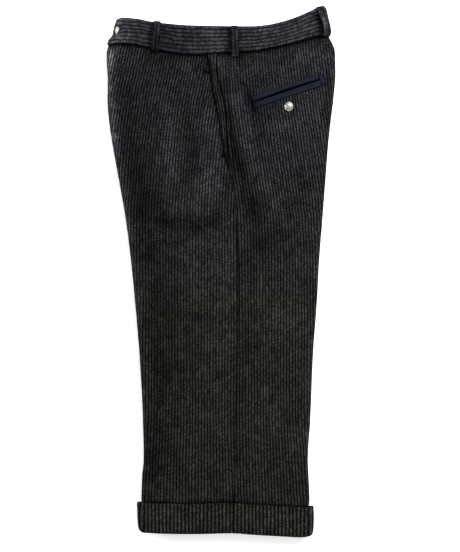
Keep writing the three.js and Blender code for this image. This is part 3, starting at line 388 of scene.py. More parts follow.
def painted_light_at(x: np.ndarray, y: np.ndarray) -> np.ndarray:
    """Gives the painted light and shade at places on the garment, where 1 is the plain cloth."""
    return np.exp(sum(stroke.lift(x, y) for stroke in PAINTED_LIGHT_STROKES))


@dataclass
class Section:
    """The outer face of the cloth across one station.

    Args:
        at: The station.
        steps: Stretches across the top.
        roll_steps: Stretches round each fold, above it and below it.
        shoulder: How far in from a fold the cloth reaches its full height.
        under: How far the folds are followed below their middle, in radians.
    """

    at: float
    steps: int = 150
    roll_steps: int = 16
    shoulder: float = 62.0
    under: float = 1.5

    def __post_init__(self) -> None:
        """Works out the points, their runs, and the directions out of the cloth."""
        row = {name: float(curve(self.at)) for name, curve in {**OUTLINE, **FORM}.items()}
        self.row = row
        rise = row["crown"] - row["rim"] - row["roll"]
        slope = 2 * rise / self.shoulder
        front_end = math.atan2(row["roll"], slope * row["front_roll"])
        back_end = math.atan2(row["roll"], slope * row["back_roll"])
        turn = np.linspace(-self.under, 0, self.roll_steps + 1)[:-1]
        front_angles = np.concatenate([turn, np.linspace(0, front_end, self.roll_steps + 1)])
        back_angles = np.concatenate([turn, np.linspace(0, back_end, self.roll_steps + 1)])[::-1]
        front_x = row["front"] + row["front_roll"] * (1 - np.cos(front_angles))
        front_z = row["rim"] + row["roll"] * np.sin(front_angles)
        back_x = row["back"] - row["back_roll"] * (1 - np.cos(back_angles))
        back_z = row["rim"] + row["roll"] * np.sin(back_angles)
        x = np.linspace(front_x[-1], back_x[0], self.steps + 1)[1:-1]
        in_front = np.clip((x - front_x[-1]) / self.shoulder, 0, 1)
        in_back = np.clip((back_x[0] - x) / self.shoulder, 0, 1)
        from_front = front_z[-1] + (row["crown"] - front_z[-1]) * in_front * (2 - in_front)
        from_back = back_z[0] + (row["crown"] - back_z[0]) * in_back * (2 - in_back)
        hold = ease(np.minimum(np.minimum(in_front, in_back), 0.25) * 4)
        y = height_up(self.at, x)
        lift = sum(fold.lift(x, y) for fold in FOLDS + CREASES)
        z = np.minimum(from_front, from_back) + lift * hold
        self.x = np.concatenate([front_x, x, back_x])
        self.z = np.concatenate([front_z, z, back_z])
        run = np.concatenate([[0], np.cumsum(np.hypot(np.diff(self.x), np.diff(self.z)))])
        fold = self.roll_steps
        self.run = run - run[fold]
        self.width = float(self.run[-1 - fold])
        self.front_arc = float(self.run[2 * fold])
        self.back_arc = self.width - float(self.run[-1 - 2 * fold])
        along_x = np.gradient(self.x)
        along_z = np.gradient(self.z)
        length = np.hypot(along_x, along_z)
        self.out_x = -along_z / length
        self.out_z = along_x / length

    def run_at(self, x: float) -> float:
        """Gives the run at which the upper face passes a distance across the garment."""
        upper = slice(self.roll_steps, len(self.run) - self.roll_steps)
        return float(np.interp(x, self.x[upper], self.run[upper]))


def height_up(at: float, x: np.ndarray) -> np.ndarray:
    """Gives the height up the garment of places on one station, with the dips of waist and hem.

    Args:
        at: The station.
        x: Across the garment.

    Returns:
        The height of each place.
    """
    front = float(OUTLINE["front"](at))
    back = float(OUTLINE["back"](at))
    across = np.clip((np.asarray(x, float) - front) / (back - front), 0, 1)
    near_waist = ease((at - WAIST_STRAY_FROM) / (BAND_SEAM - WAIST_STRAY_FROM))
    near_hem = ease((HEM_STRAY_TO - at) / (HEM_STRAY_TO - CUFF_TOP))
    up_band = float(np.clip((at - BAND_SEAM) / (BAND_TOP - BAND_SEAM), 0, 1))
    waist = STRAY["band"](across) * (1 - up_band) + STRAY["waist"](across) * up_band
    return at + near_waist * waist + near_hem * STRAY["hem"](across) + float(HEM_LIFT(at))


_sections: dict[float, Section] = {}


def section(at: float) -> Section:
    """Gives the section at a station, made once."""
    if at not in _sections:
        _sections[at] = Section(at)
    return _sections[at]


def place(at: float, run: np.ndarray, depth: np.ndarray | float) -> np.ndarray:
    """Gives places on or off the cloth.

    Args:
        at: The station.
        run: The runs.
        depth: How far below the outer face each place is.

    Returns:
        One row of x, y and z for each run, in millimetres from the hem's middle.
    """
    here = section(at)
    run = np.asarray(run, float)
    out_x = np.interp(run, here.run, here.out_x)
    out_z = np.interp(run, here.run, here.out_z)
    length = np.hypot(out_x, out_z)
    x = np.interp(run, here.run, here.x) - out_x / length * depth
    z = np.interp(run, here.run, here.z) - out_z / length * depth
    return np.stack([x, height_up(at, x), z], axis=-1)


def station_of(x: float, y: float) -> float:
    """Gives the station on which a place of the upper face lies."""
    at = y
    for _ in range(12):
        at += y - float(height_up(at, x))
    return at


def mouth_run(at: float) -> float:
    """Gives the run of the pocket mouth's edge, which is the side seam below the pocket."""
    return section(at).run_at(float(SIDE_LINES["seam" if at < POCKET_FOOT else "mouth"](at)))


def seam_run(at: float) -> float:
    """Gives the run of the side seam."""
    return section(at).run_at(float(SIDE_LINES["seam"](at)))


# ---- Meshes ----


@dataclass
class Shape:
    """Vertices, faces and weave coordinates that grow into one mesh.

    Args:
        vertices: The places of the points, array by array.
        weave: Their coordinates across the ribs and along them, in millimetres.
        shade: How deep each lies in the painted shade of a seam or under an edge.
        faces: The corners of each face.
        count: How many points there are.
    """

    vertices: list[np.ndarray] = field(default_factory=list)
    weave: list[np.ndarray] = field(default_factory=list)
    shade: list[np.ndarray] = field(default_factory=list)
    faces: list[tuple[int, ...]] = field(default_factory=list)
    count: int = 0

    def add(self, places: np.ndarray, weave: np.ndarray, shade: np.ndarray | float = 0.0) -> np.ndarray:
        """Adds places and returns their indices.

        Args:
            places: One row of x, y and z for each.
            weave: One row of across and along for each.
            shade: How far each lies in the painted shade of a seam or under an edge, from 0 to 1.

        Returns:
            The index of each place.
        """
        self.vertices.append(places)
        self.weave.append(weave)
        self.shade.append(np.broadcast_to(np.asarray(shade, float), len(places)))
        first = self.count
        self.count += len(places)
        return np.arange(first, self.count)

    def face(self, *corners: int) -> None:
        """Adds a face, without the corners that have merged, if three are left."""
        kept = [c for i, c in enumerate(corners) if c != corners[i - 1]]
        if len(set(kept)) >= 3:
            self.faces.append(tuple(int(c) for c in kept))

    def strip(self, low: Sequence[int], high: Sequence[int]) -> None:
        """Adds the faces between two chains of the same length."""
        for i in range(len(low) - 1):
            self.face(low[i], low[i + 1], high[i + 1], high[i])

    def zip(self, first: np.ndarray, first_runs: np.ndarray, second: np.ndarray,
            second_runs: np.ndarray) -> None:
        """Adds the faces between two chains that run side by side.

        Args:
            first: The indices of one chain.
            first_runs: The run of each of its points.
            second: The indices of the other.
            second_runs: The run of each of its points.
        """
        i = 0
        j = 0
        while i < len(first) - 1 or j < len(second) - 1:
            next_first = first_runs[i + 1] if i < len(first) - 1 else math.inf
            next_second = second_runs[j + 1] if j < len(second) - 1 else math.inf
            if next_first <= next_second:
                self.face(first[i], first[i + 1], second[j])
                i += 1
            else:
                self.face(first[i], second[j + 1], second[j])
                j += 1

    def build(self, name: str) -> Piece:
        """Makes the mesh and its object.

        Args:
            name: The piece's name.

        Returns:
            The object, at the origin, with smooth faces that look outwards.
        """
        places = np.concatenate(self.vertices)
        weave = np.concatenate(self.weave)
        # Painted light and shade: the strokes' light times the painted shade of seams and edges, kept on
        # each point for the cloth's colour
        painted_light_and_shade = painted_light_at(places[:, 0], places[:, 1]) * (1 - FULL_SHADE * np.concatenate(self.shade))
        places = (places + (SHIFT_X, SHIFT_Y, 0)) * MM
        mesh = bpy.data.meshes.new(name)
        mesh.from_pydata(places.tolist(), [], self.faces)
        mesh.update()
        layer = mesh.uv_layers.new(name="weave")
        loops = np.empty(len(mesh.loops), int)
        mesh.loops.foreach_get("vertex_index", loops)
        layer.data.foreach_set("uv", (weave[loops] * MM).astype(np.float32).ravel())
        mesh.attributes.new("painted_light_and_shade", "FLOAT", "POINT").data.foreach_set("value", painted_light_and_shade.astype(np.float32))
        form = bmesh.new()
        form.from_mesh(mesh)
        loose = [v for v in form.verts if not v.link_faces]
        bmesh.ops.delete(form, geom=loose, context="VERTS")
        if form.calc_volume(signed=True) < 0:
            bmesh.ops.reverse_faces(form, faces=form.faces)
        form.to_mesh(mesh)
        form.free()
        mesh.shade_smooth()
        piece = bpy.data.objects.new(name, mesh)
        bpy.context.scene.collection.objects.link(piece)
        return piece


@dataclass
class Chain:
    """Points along one section: their runs, depths and rib coordinates.

    Args:
        run: The runs, growing.
        depth: The depth of each.
        across: The weave's coordinate across the ribs for each.
        first: The last point that is held at the chain's start.
        last: The first point that is held at its end.
        shade: How far each point lies in the painted shade of a seam.
    """

    run: np.ndarray
    depth: np.ndarray
    across: np.ndarray
    first: int = 0
    last: int = -1
    shade: np.ndarray | float = 0.0


def cloth_wall(name: str, stations: Sequence[float], outer: Callable[[float], Chain],
               inner: Callable[[float], Chain]) -> Piece:
    """Makes a wall of cloth with a detailed outer face over a plain inner one.

    Args:
        name: The piece's name.
        stations: The stations of its rows.
        outer: Gives the outer chain at a station.
        inner: Gives the inner chain at a station.

    Returns:
        The closed piece.
    """
    shape = Shape()
    rows = []
    for at in stations:
        chains = []
        for chain in (outer(at), inner(at)):
            places = place(at, chain.run, chain.depth)
            index = shape.add(places, np.stack([chain.across, places[:, 1]], axis=-1), chain.shade)
            last = chain.last % len(index)
            held = np.clip(np.arange(len(index)), chain.first, last)
            chains.append((index[held], chain.run))
        rows.append(chains)
    for low, high in zip(rows, rows[1:]):
        shape.strip(low[0][0], high[0][0])
        shape.strip(high[1][0], low[1][0])
        shape.face(low[1][0][0], low[0][0][0], high[0][0][0], high[1][0][0])
        shape.face(low[0][0][-1], low[1][0][-1], high[1][0][-1], high[0][0][-1])
    for first, second in ((rows[0][1], rows[0][0]), (rows[-1][0], rows[-1][1])):
        shape.zip(first[0], first[1], second[0], second[1])
    return shape.build(name)


def plain_chain(start: float, end: float) -> Chain:
    """Makes an even chain along the inner face of the cloth, between two runs."""
    run = np.linspace(start, end, int(round(section(MIDDLE_STATION).width / PLAIN_STEP)))
    return Chain(run, np.full(len(run), CLOTH), run)


def side_ends(side: Side, at: float, line: Callable[[float], float]) -> Two:
    """Gives where a front or back piece starts and ends at a station.

    Args:
        side: Which piece.
        at: The station.
        line: Gives the run of the line at which the piece meets the other.

    Returns:
        The first and the last run.
    """
    here = section(at)
    if side is Side.FRONT:
        return -here.row["tuck"], line(at) - SEAM_GAP / 2
    return line(at) + SEAM_GAP / 2, here.width + here.row["tuck"]


def rib_profile(phase: np.ndarray) -> np.ndarray:
    """Gives the share of a rib's rise across one pitch: a round ridge between narrow grooves."""
    off = np.abs((phase + 0.5) % 1.0 - 0.5) * 2
    return 1 - off ** 3.2


@dataclass
class RibField:
    """Ribs that run up the garment as unbroken lines.

    Args:
        pitch: The distance between ribs.
        lean: The column of RIBS that leans them, or None.
        rise: The height of a rib.
        samples: Points for each rib.
        wander: How far a rib strays sideways.
    """

    pitch: float
    lean: str | None
    rise: float
    samples: int = 8
    wander: float = 0.45

    def middle(self, at: float) -> float:
        """Gives the run of the rib that starts at the garment's middle line."""
        lean = float(RIBS[self.lean](at)) if self.lean else 0.0
        return section(at).run_at(0.0) + lean

    def stray(self, at: float, rib: np.ndarray) -> np.ndarray:
        """Gives the small sideways wander of ribs at a station."""
        slow = np.sin(at / 47.0 + rib * 0.23) + 0.6 * np.sin(at / 19.0 + rib * 0.71 + 1.3)
        quick = 0.35 * np.sin(at / 7.3 + rib * 2.1)
        return self.wander * (slow + quick) / 1.6

    def chain(self, at: float, spans: tuple[int, int], start: float, end: float) -> Chain:
        """Makes the ribbed chain at a station.

        Args:
            at: The station.
            spans: The first and last rib.
            start: The run at which the cloth starts.
            end: The run at which it ends.

        Returns:
            The chain. Points past the cloth's edges are held there.
        """
        rib = np.arange(spans[0] * self.samples, spans[1] * self.samples + 1) / self.samples
        fan = float(RIBS["fan"](at))
        run = self.middle(at) + rib * self.pitch * fan + self.stray(at, rib)
        run = np.maximum.accumulate(run)
        snap = self.pitch / self.samples * 0.45
        first = int(np.searchsorted(run, start + snap)) - 1
        last = int(np.searchsorted(run, end - snap))
        first = max(first, 0)
        last = min(last, len(run) - 1)
        clear = np.minimum(run - start, end - run)
        depth = -self.rise * rib_profile(rib) * ease(clear / 1.4)
        run = run.copy()
        run[: first + 1] = start
        run[last:] = end
        depth[: first + 1] = 0
        depth[last:] = 0
        return Chain(run, depth, rib * self.pitch, first, last)

    def spans(self, stations: Sequence[float], ends: Callable[[float], Two]) -> tuple[int, int]:
        """Finds which ribs the cloth needs.

        Args:
            stations: The stations of the piece.
            ends: Gives the cloth's first and last run at a station.

        Returns:
            The first and last rib.
        """
        low = math.inf
        high = -math.inf
        for at in stations:
            start, end = ends(at)
            pitch = self.pitch * float(RIBS["fan"](at))
            low = min(low, (start - self.middle(at)) / pitch)
            high = max(high, (end - self.middle(at)) / pitch)
        return math.floor(low) - 1, math.ceil(high) + 1


# ---- Finishes ----


class Nodes:
    """A material's node tree, with short ways to add to it."""

    def __init__(self, name: str) -> None:
        """Starts an empty material.

        Args:
            name: The material's name.
        """
        self.material = bpy.data.materials.new(name)
        self.material.use_nodes = True
        self.tree = self.material.node_tree
        self.shader = self.tree.nodes["Principled BSDF"]

    def node(self, kind: str, **settings: object) -> bpy.types.Node:
        """Adds a node and sets its options."""
        made = self.tree.nodes.new(kind)
        for key, value in settings.items():
            setattr(made, key, value)
        return made

    def link(self, source: Socket, target: Socket) -> None:
        """Joins two sockets."""
        self.tree.links.new(source, target)

    def feed(self, target: Socket, value: object) -> None:
        """Sets a socket, or links it when the value is a socket."""
        if isinstance(value, Socket):
            self.link(value, target)
        else:
            target.default_value = value

    def fill(self, node: bpy.types.Node, **values: object) -> bpy.types.Node:
        """Sets or links a node's sockets, named with _ for a space."""
        for name, value in values.items():
            self.feed(node.inputs[name.replace("_", " ")], value)
        return node

    def dress(self, **values: object) -> Material:
        """Sets or links the shader's sockets and gives the material."""
        self.fill(self.shader, **values)
        return self.material

    def math(self, operation: str, a: object, b: object = 0.0) -> Socket:
        """Adds a sum of two values.

        Args:
            operation: Blender's name of the sum.
            a: The first value or socket.
            b: The second.

        Returns:
            The result's socket.
        """
        made = self.node("ShaderNodeMath", operation=operation)
        self.feed(made.inputs[0], a)
        self.feed(made.inputs[1], b)
        return made.outputs[0]

    def times(self, a: object, b: object) -> Socket:
        """Multiplies two values."""
        return self.math("MULTIPLY", a, b)

    def over(self, a: object, b: object) -> Socket:
        """Divides a value by another."""
        return self.math("DIVIDE", a, b)

    def plus(self, a: object, b: object) -> Socket:
        """Adds two values."""
        return self.math("ADD", a, b)

    def minus(self, a: object, b: object) -> Socket:
        """Takes a value from another."""
        return self.math("SUBTRACT", a, b)

    def ramp(self, value: object, low: float, high: float, to_low: float = 0.0,
             to_high: float = 1.0) -> Socket:
        """Maps a value smoothly from one range to another."""
        made = self.node("ShaderNodeMapRange", interpolation_type="SMOOTHSTEP")
        for socket, number in zip(made.inputs, (value, low, high, to_low, to_high)):
            self.feed(socket, number)
        return made.outputs["Result"]

    def mix(self, share: object, a: object, b: object, blend: str = "MIX") -> Socket:
        """Mixes two colours by a share."""
        made = self.node("ShaderNodeMix", data_type="RGBA", blend_type=blend)
        for socket, value in zip((made.inputs[0], *made.inputs[6:8]), (share, a, b)):
            self.feed(socket, value)
        return made.outputs[2]

    def noise(self, vector: object, scale: float, detail: float = 2.0, rough: float = 0.5) -> Socket:
        """Adds a noise pattern on a vector."""
        made = self.node("ShaderNodeTexNoise")
        return self.fill(made, Vector=vector, Scale=scale, Detail=detail, Roughness=rough).outputs["Fac"]

    def chance(self, vector: object) -> Socket:
        """Gives an even random value from 0 to 1 for each vector."""
        made = self.node("ShaderNodeTexWhiteNoise", noise_dimensions="2D")
        return self.fill(made, Vector=vector).outputs["Value"]

    def combine(self, x: object, y: object, z: object = 0.0) -> Socket:
        """Makes a vector from three values."""
        made = self.node("ShaderNodeCombineXYZ")
        for socket, value in zip(made.inputs, (x, y, z)):
            self.feed(socket, value)
        return made.outputs[0]

    def bump(self, height: object, distance: float, strength: float,
             before: Socket | None = None) -> Socket:
        """Adds a bump.

        Args:
            height: The height pattern, from 0 to 1.
            distance: What 1 is worth, in metres.
            strength: The bump's strength.
            before: A bump that this one adds to.

        Returns:
            The normal's socket.
        """
        made = self.fill(self.node("ShaderNodeBump"), Height=height, Distance=distance, Strength=strength)
        if before is not None:
            self.link(before, made.inputs["Normal"])
        return made.outputs["Normal"]

    def weave(self) -> tuple[Socket, Socket]:
        """Gives the piece's own coordinates across and along its ribs, in metres."""
        uv = self.node("ShaderNodeUVMap", uv_map="weave")
        split = self.node("ShaderNodeSeparateXYZ")
        self.link(uv.outputs["UV"], split.inputs[0])
        return split.outputs[0], split.outputs[1]

    def shaded(self, base: object, value: object) -> Socket:
        """Multiplies a colour by a value."""
        return self.mix(1.0, base, self.combine(value, value, value), "MULTIPLY")

    def with_painted_light(self, cloth: object) -> Socket:
        """Makes a cloth's colour lighter or darker by the painted light and shade on its points."""
        return self.shaded(cloth, self.node("ShaderNodeAttribute", attribute_name="painted_light_and_shade").outputs["Fac"])

    def spot(self) -> tuple[Socket, Socket]:
        """Gives the place in the object, and its height up the garment."""
        where = self.node("ShaderNodeTexCoord").outputs["Object"]
        split = self.node("ShaderNodeSeparateXYZ")
        self.link(where, split.inputs[0])
        return where, split.outputs[1]


def colour(red: float, green: float, blue: float) -> Four:
    """Turns a display colour from 0 to 255 into the linear one that a shader takes."""
    def linear(value: float) -> float:
        """Turns one part of the colour."""
        share = value / 255
        return share / 12.92 if share <= 0.04045 else ((share + 0.055) / 1.055) ** 2.4
    return linear(red), linear(green), linear(blue), 1.0


@dataclass(frozen=True)
class RibbedWool:
    """Charcoal wool with close ribs: pale flecked ridges between grooves painted near black as shade.

    Args:
        name: The finish's name.
        pitch: The distance between ribs, in millimetres.
        ridge: The ridges' display colour at the waist.
        ridge_low: The same at the hem.
        groove: The grooves' display colour, near black as painted shade.
        fleck: The flecks' display colour.
        bead: The length of one stitch along a rib, in millimetres.
        groove_from: Where the painted shade of a groove starts, as a share of the pitch from the ridge's
            middle.
        groove_to: Where it is darkest.
        waver: How far the grooves stray from straight lines, as a share of the pitch.
        groove_mix: How fully the grooves take their painted shade colour.
        loose: How much that varies along a groove.
        grain: How much the beads differ in lightness.
    """

    name: str
    pitch: float = RIB_PITCH
    ridge: Three = (34, 34, 36.5)
    ridge_low: Three = (35.5, 35, 32.5)
    groove: Three = (2, 2, 3)
    fleck: Three = (80, 80, 82)
    bead: float = 2.5
    groove_from: float = 0.12
    groove_to: float = 0.4
    waver: float = 0.06
    groove_mix: float = 0.97
    loose: float = 0.14
    grain: float = 0.4

    def material(self) -> Material:
        """Builds the material."""
        n = Nodes(self.name)
        across, along = n.weave()
        where, height = n.spot()
        wave = n.noise(n.combine(n.over(across, 30 * MM), n.over(along, 9 * MM)), 1.0, 1.0)
        waver = n.times(n.minus(wave, 0.5), self.waver * 4)
        rib = n.plus(n.over(across, self.pitch * MM), waver)
        own_rib = n.math("FLOOR", n.plus(rib, 0.5))
        # Beads along each rib, of their own lightness and shifted from rib to rib
        start = n.times(n.chance(n.combine(own_rib, 3.0)), 9.0)
        beads = n.plus(n.over(along, self.bead * MM), start)
        own_bead = n.math("FLOOR", beads)
        tone = n.chance(n.combine(own_rib, own_bead))
        gap = n.ramp(n.math("ABSOLUTE", n.minus(n.minus(beads, own_bead), 0.5)), 0.3, 0.5)
        aside = n.times(n.minus(n.chance(n.combine(own_bead, own_rib)), 0.5), 0.1)
        off = n.math("ABSOLUTE", n.minus(n.minus(rib, own_rib), aside))
        # Painted shade in the grooves, which fills in here and there
        groove = n.ramp(off, self.groove_from, self.groove_to)
        loose = n.noise(n.combine(n.times(rib, 1.3), n.over(along, 5 * MM), 3.0), 1.0, 2.0)
        filled = n.ramp(loose, 0.3, 0.7, self.groove_mix, self.groove_mix - self.loose)
        # Fibres, flecks, and cloudy patches of two sizes
        fine = n.noise(n.combine(n.times(rib, 2.1), n.over(along, 1.5 * MM)), 1.0, 3.0, 0.65)
        streak = n.noise(n.combine(n.times(own_rib, 1.7), n.over(along, 17 * MM)), 1.0, 2.0)
        speck = n.noise(n.combine(n.times(rib, 1.9), n.over(along, 2.2 * MM), 7.0), 1.0, 1.0)
        value = n.ramp(streak, 0.25, 0.75, 0.72, 1.28)
        for change in (
            n.ramp(fine, 0.2, 0.8, 0.5, 1.5),
            n.ramp(tone, 0.0, 1.0, 1.03 - self.grain, 1.03 + self.grain),
            # the gaps between beads, darkened as painted shade
            n.minus(1.0, n.times(gap, 0.4)),
            n.ramp(n.noise(where, 14.0, 3.0, 0.55), 0.3, 0.7, 0.86, 1.14),
            n.ramp(n.noise(where, 55.0, 2.0), 0.3, 0.7, 0.84, 1.16),
        ):
            value = n.times(value, change)
        ridge = n.mix(n.ramp(height, -0.1, 0.2), colour(*self.ridge_low), colour(*self.ridge))
        ridge = n.shaded(ridge, value)
        ridge = n.mix(n.times(n.ramp(speck, 0.66, 0.8), 0.6), ridge, colour(*self.fleck))
        cloth = n.mix(n.times(groove, filled), ridge, colour(*self.groove))
        knit = n.plus(n.times(n.minus(1.0, gap), 0.5), n.times(fine, 0.9))
        normal = n.bump(n.minus(1.0, groove), 0.0006, 0.5, n.bump(knit, 0.0005, 0.55))
        return n.dress(Base_Color=n.with_painted_light(cloth), Normal=normal,
                       Roughness=n.ramp(fine, 0.2, 0.8, 0.97, 0.86), Specular_IOR_Level=0.01,
                       Sheen_Weight=0.02, Sheen_Roughness=0.5, Sheen_Tint=colour(150, 152, 160))


@dataclass(frozen=True)
class Twill:
    """Smooth cloth with a fine slanted weave, as a pocket's binding has.

    Args:
        name: The finish's name.
        base: Its display colour.
        light: The display colour of the threads that catch the light.
        pitch: The distance between its slanted lines, in millimetres.
    """

    name: str
    base: Three = (9, 11, 19)
    light: Three = (31, 37, 56)
    pitch: float = 0.9

    def material(self) -> Material:
        """Builds the material."""
        n = Nodes(self.name)
        across, along = n.weave()
        where, _ = n.spot()
        slanted = n.plus(n.over(across, self.pitch * MM), n.over(along, self.pitch * MM))
        wave = n.plus(n.times(n.math("SINE", n.times(slanted, 2 * math.pi)), 0.5), 0.5)
        rough = n.noise(where, 900.0, 2.0)
        value = n.times(wave, n.ramp(rough, 0.3, 0.7, 0.2, 1.0))
        shade = n.noise(where, 60.0, 3.0)
        mixed = n.mix(n.times(value, 0.7), colour(*self.base), colour(*self.light))
        cloth = n.mix(n.ramp(shade, 0.35, 0.7, 0.0, 0.35), mixed, colour(*self.base))
        return n.dress(Base_Color=n.with_painted_light(cloth), Normal=n.bump(n.plus(wave, rough), 0.0002, 0.6),
                       Roughness=n.ramp(rough, 0.3, 0.7, 0.62, 0.8), Specular_IOR_Level=0.06)


@dataclass(frozen=True)
class Metal:
    """Pearly silver metal with faint turning marks and wear.

    Args:
        name: The finish's name.
        base: Its display colour.
        worn: The display colour where it is worn.
    """

    name: str
    base: Three = (158, 158, 152)
    worn: Three = (118, 117, 112)

    def material(self) -> Material:
        """Builds the material."""
        n = Nodes(self.name)
        where, _ = n.spot()
        fine = n.noise(where, 700.0, 4.0, 0.6)
        wear = n.ramp(n.noise(where, 160.0, 3.0), 0.35, 0.7, 0.0, 0.5)
        tone = n.mix(wear, colour(*self.base), colour(*self.worn))
        return n.dress(Base_Color=tone, Metallic=0.85, Roughness=n.ramp(fine, 0.3, 0.7, 0.22, 0.4),
                       Normal=n.bump(fine, 0.00005, 0.35))


@dataclass(frozen=True)
class Thread:
    """Twisted thread.

    Args:
        name: The finish's name.
        base: Its display colour.
        gloss: How strongly it mirrors light.
    """

    name: str
    base: Three = (5, 5, 8)
    gloss: float = 0.03

    def material(self) -> Material:
        """Builds the material."""
        n = Nodes(self.name)
        where, _ = n.spot()
        fibre = n.noise(where, 1500.0, 3.0, 0.6)
        dark = colour(*self.base)
        light = colour(*(c * 2.0 for c in self.base))
        return n.dress(Base_Color=n.mix(n.ramp(fibre, 0.4, 0.75), dark, light),
                       Normal=n.bump(fibre, 0.0001, 0.5), Roughness=0.7, Specular_IOR_Level=self.gloss)


@dataclass(frozen=True)
class Floor:
    """A plain pale studio floor that gives off a little light of its own.

    Args:
        name: The finish's name.
        glow: The strength of that light.
    """

    name: str = "floor"
    glow: float = 0.3

    def material(self) -> Material:
        """Builds the material."""
        n = Nodes(self.name)
        where, _ = n.spot()
        pale = n.mix(n.noise(where, 3.0, 2.0), (0.93, 0.93, 0.93, 1), (0.95, 0.95, 0.95, 1))
        return n.dress(Base_Color=pale, Roughness=0.95, Specular_IOR_Level=0.1,
                       Emission_Color=(1.0, 1.0, 1.0, 1.0), Emission_Strength=self.glow)


def dress(piece: Piece, material: Material, slot: Slot, *nodes: str) -> None:
    """Gives a piece its finish and its body, and hides the nodes that it stands for.

    Args:
        piece: The piece.
        material: Its finish.
        slot: Not used.
        nodes: The CAD nodes that it replaces.
    """
    piece.data.materials.clear()
    piece.data.materials.append(material)
    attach(piece, ROOT)
    if nodes:
        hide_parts(*nodes)
    log.info("%s: %d faces", piece.name, len(piece.data.polygons))


# ---- The cloth pieces ----


@dataclass
class Panels:
    """The left front and the left back, ribbed from hem to waist.

    Args:
        row_step: About how far apart the rows are.
        opening: The height over which the pocket mouth comes open above its foot.
        beside: How far from the side seam the back's fold lies.
        fold_foot: The station at which that fold starts to show.
        fold_top: The station at which it ends.
    """

    row_step: float = 5.0
    opening: float = 30.0
    beside: float = 6.4
    fold_foot: float = 540.0
    fold_top: float = 700.0

    def stations(self) -> np.ndarray:
        """Gives the rows, closer together at both ends."""
        low = CUFF_TOP + 0.15
        high = BAND_SEAM - 0.1
        even = np.arange(low + 3, high - 3, self.row_step)
        return np.concatenate([[low, low + 1.2], even, [high - 3, high - 1.2, high]])

    def open_share(self, at: float) -> float:
        """Gives how open the pocket mouth is at a station."""
        return float(ease((at - POCKET_FOOT) / self.opening))

    def edge_depth(self, at: float, from_edge: np.ndarray) -> np.ndarray:
        """Gives how far the cloth rises beside a folded or sewn side edge and rounds off at it.

        Args:
            at: The station.
            from_edge: The distance of each point from the edge.

        Returns:
            What is added to the depth of each.
        """
        open_share = self.open_share(at)
        swell = -1.0 * open_share * bell(from_edge - 4, 4.5)
        round_off = (0.5 + 0.9 * open_share) * bell(from_edge, 1.1)
        ditch = 0.4 * (1 - open_share) * bell(from_edge, 1.6)
        return swell + round_off + ditch

    def fold_share(self, at: float) -> float:
        """Gives how clearly the fold beside the pocket shows at a station."""
        return float(ease((at - self.fold_foot) / 30) * ease((self.fold_top - at) / 25))

    def dark(self, at: float, from_edge: np.ndarray, is_front: bool) -> np.ndarray:
        """Gives how far points lie in the painted shade of the pocket's mouth, the band's seam or the
        cuff's top.

        Args:
            at: The station.
            from_edge: The distance of each point from the panel's side edge.
            is_front: Whether it is the front panel.

        Returns:
            The painted shade at each, from 0 to 1.
        """
        open_share = self.open_share(at)
        mouth = open_share * bell(from_edge, 1.6)
        seam = 0.3 * (1 - open_share) * bell(from_edge, 1.2)
        if not is_front:
            seam = seam + 0.85 * self.fold_share(at) * bell(from_edge - self.beside, 1.5)
        band = bell(max(0.0, BAND_SEAM - 1.4 - at), 3.0)
        cuff = 0.85 * bell(max(0.0, at - CUFF_TOP - 0.8), 2.4)
        return np.clip(mouth + seam + band + cuff, 0, 1)

    def end_depth(self, at: float) -> float:
        """Gives how far the cloth sinks to the seams at the waistband and the cuff."""
        to_band = 0.9 * bell(BAND_SEAM - at, 3.5)
        to_cuff = 0.8 * bell(at - CUFF_TOP, 3.0)
        return to_band + to_cuff

    def panel(self, side: Side) -> Piece:
        """Makes one panel.

        Args:
            side: Which one.

        Returns:
            The piece.
        """
        stations = self.stations()
        is_front = side is Side.FRONT
        ribs = RibField(RIB_PITCH, side.value, RIB_RISE)

        def ends(at: float) -> Two:
            """Gives the panel's first and last run."""
            return side_ends(side, at, mouth_run if is_front else seam_run)

        spans = ribs.spans(stations, ends)

        def outer(at: float) -> Chain:
            """Gives the ribbed face."""
            start, end = ends(at)
            chain = ribs.chain(at, spans, start, end)
            from_edge = end - chain.run if is_front else chain.run - start
            chain.depth = chain.depth + self.edge_depth(at, from_edge) + self.end_depth(at)
            if not is_front:
                chain.depth = chain.depth + 0.7 * self.fold_share(at) * bell(from_edge - self.beside, 1.6)
            chain.shade = self.dark(at, from_edge, is_front)
            return chain

        return cloth_wall(f"{side.value}_leg", stations, outer, lambda at: plain_chain(*ends(at)))


@dataclass
class PocketFacing:
    """The strip of cloth that shows in the side pocket's mouth.

    Args:
        ribs: How many ribs it shows.
        samples: Points for each rib.
    """

    ribs: int = 3
    samples: int = 6

    def build(self) -> Piece:
        """Makes the piece."""
        stations = np.concatenate([np.arange(POCKET_FOOT, BAND_SEAM - 0.2, 5.0), [BAND_SEAM - 0.1]])

        def ends(at: float) -> Two:
            """Gives the runs of the mouth's edge and the seam."""
            return mouth_run(at) + SEAM_GAP / 2, seam_run(at) - SEAM_GAP / 2

        def outer(at: float) -> Chain:
            """Gives the ribbed face."""
            start, end = ends(at)
            share = np.linspace(0, 1, self.ribs * self.samples + 1)
            rib = share * self.ribs + 0.5
            run = start + (end - start) * share
            depth = FACING_DEPTH + 0.35 - RIB_RISE * rib_profile(rib)
            from_mouth = run - start
            from_seam = end - run
            depth = depth + 0.9 * bell(from_mouth, 1.6)
            # Painted shade in the pocket's mouth and at the seam
            shade = bell(from_mouth, 2.4) + bell(from_seam, 1.3)
            return Chain(run, depth, rib * RIB_PITCH, shade=np.clip(shade, 0, 1))

        def inner(at: float) -> Chain:
            """Gives the plain face."""
            run = np.linspace(*ends(at), 5)
            return Chain(run, np.full(5, FACING_DEPTH + CLOTH), np.linspace(0, 5, 5))

        return cloth_wall("pocket_strip", stations, outer, inner)


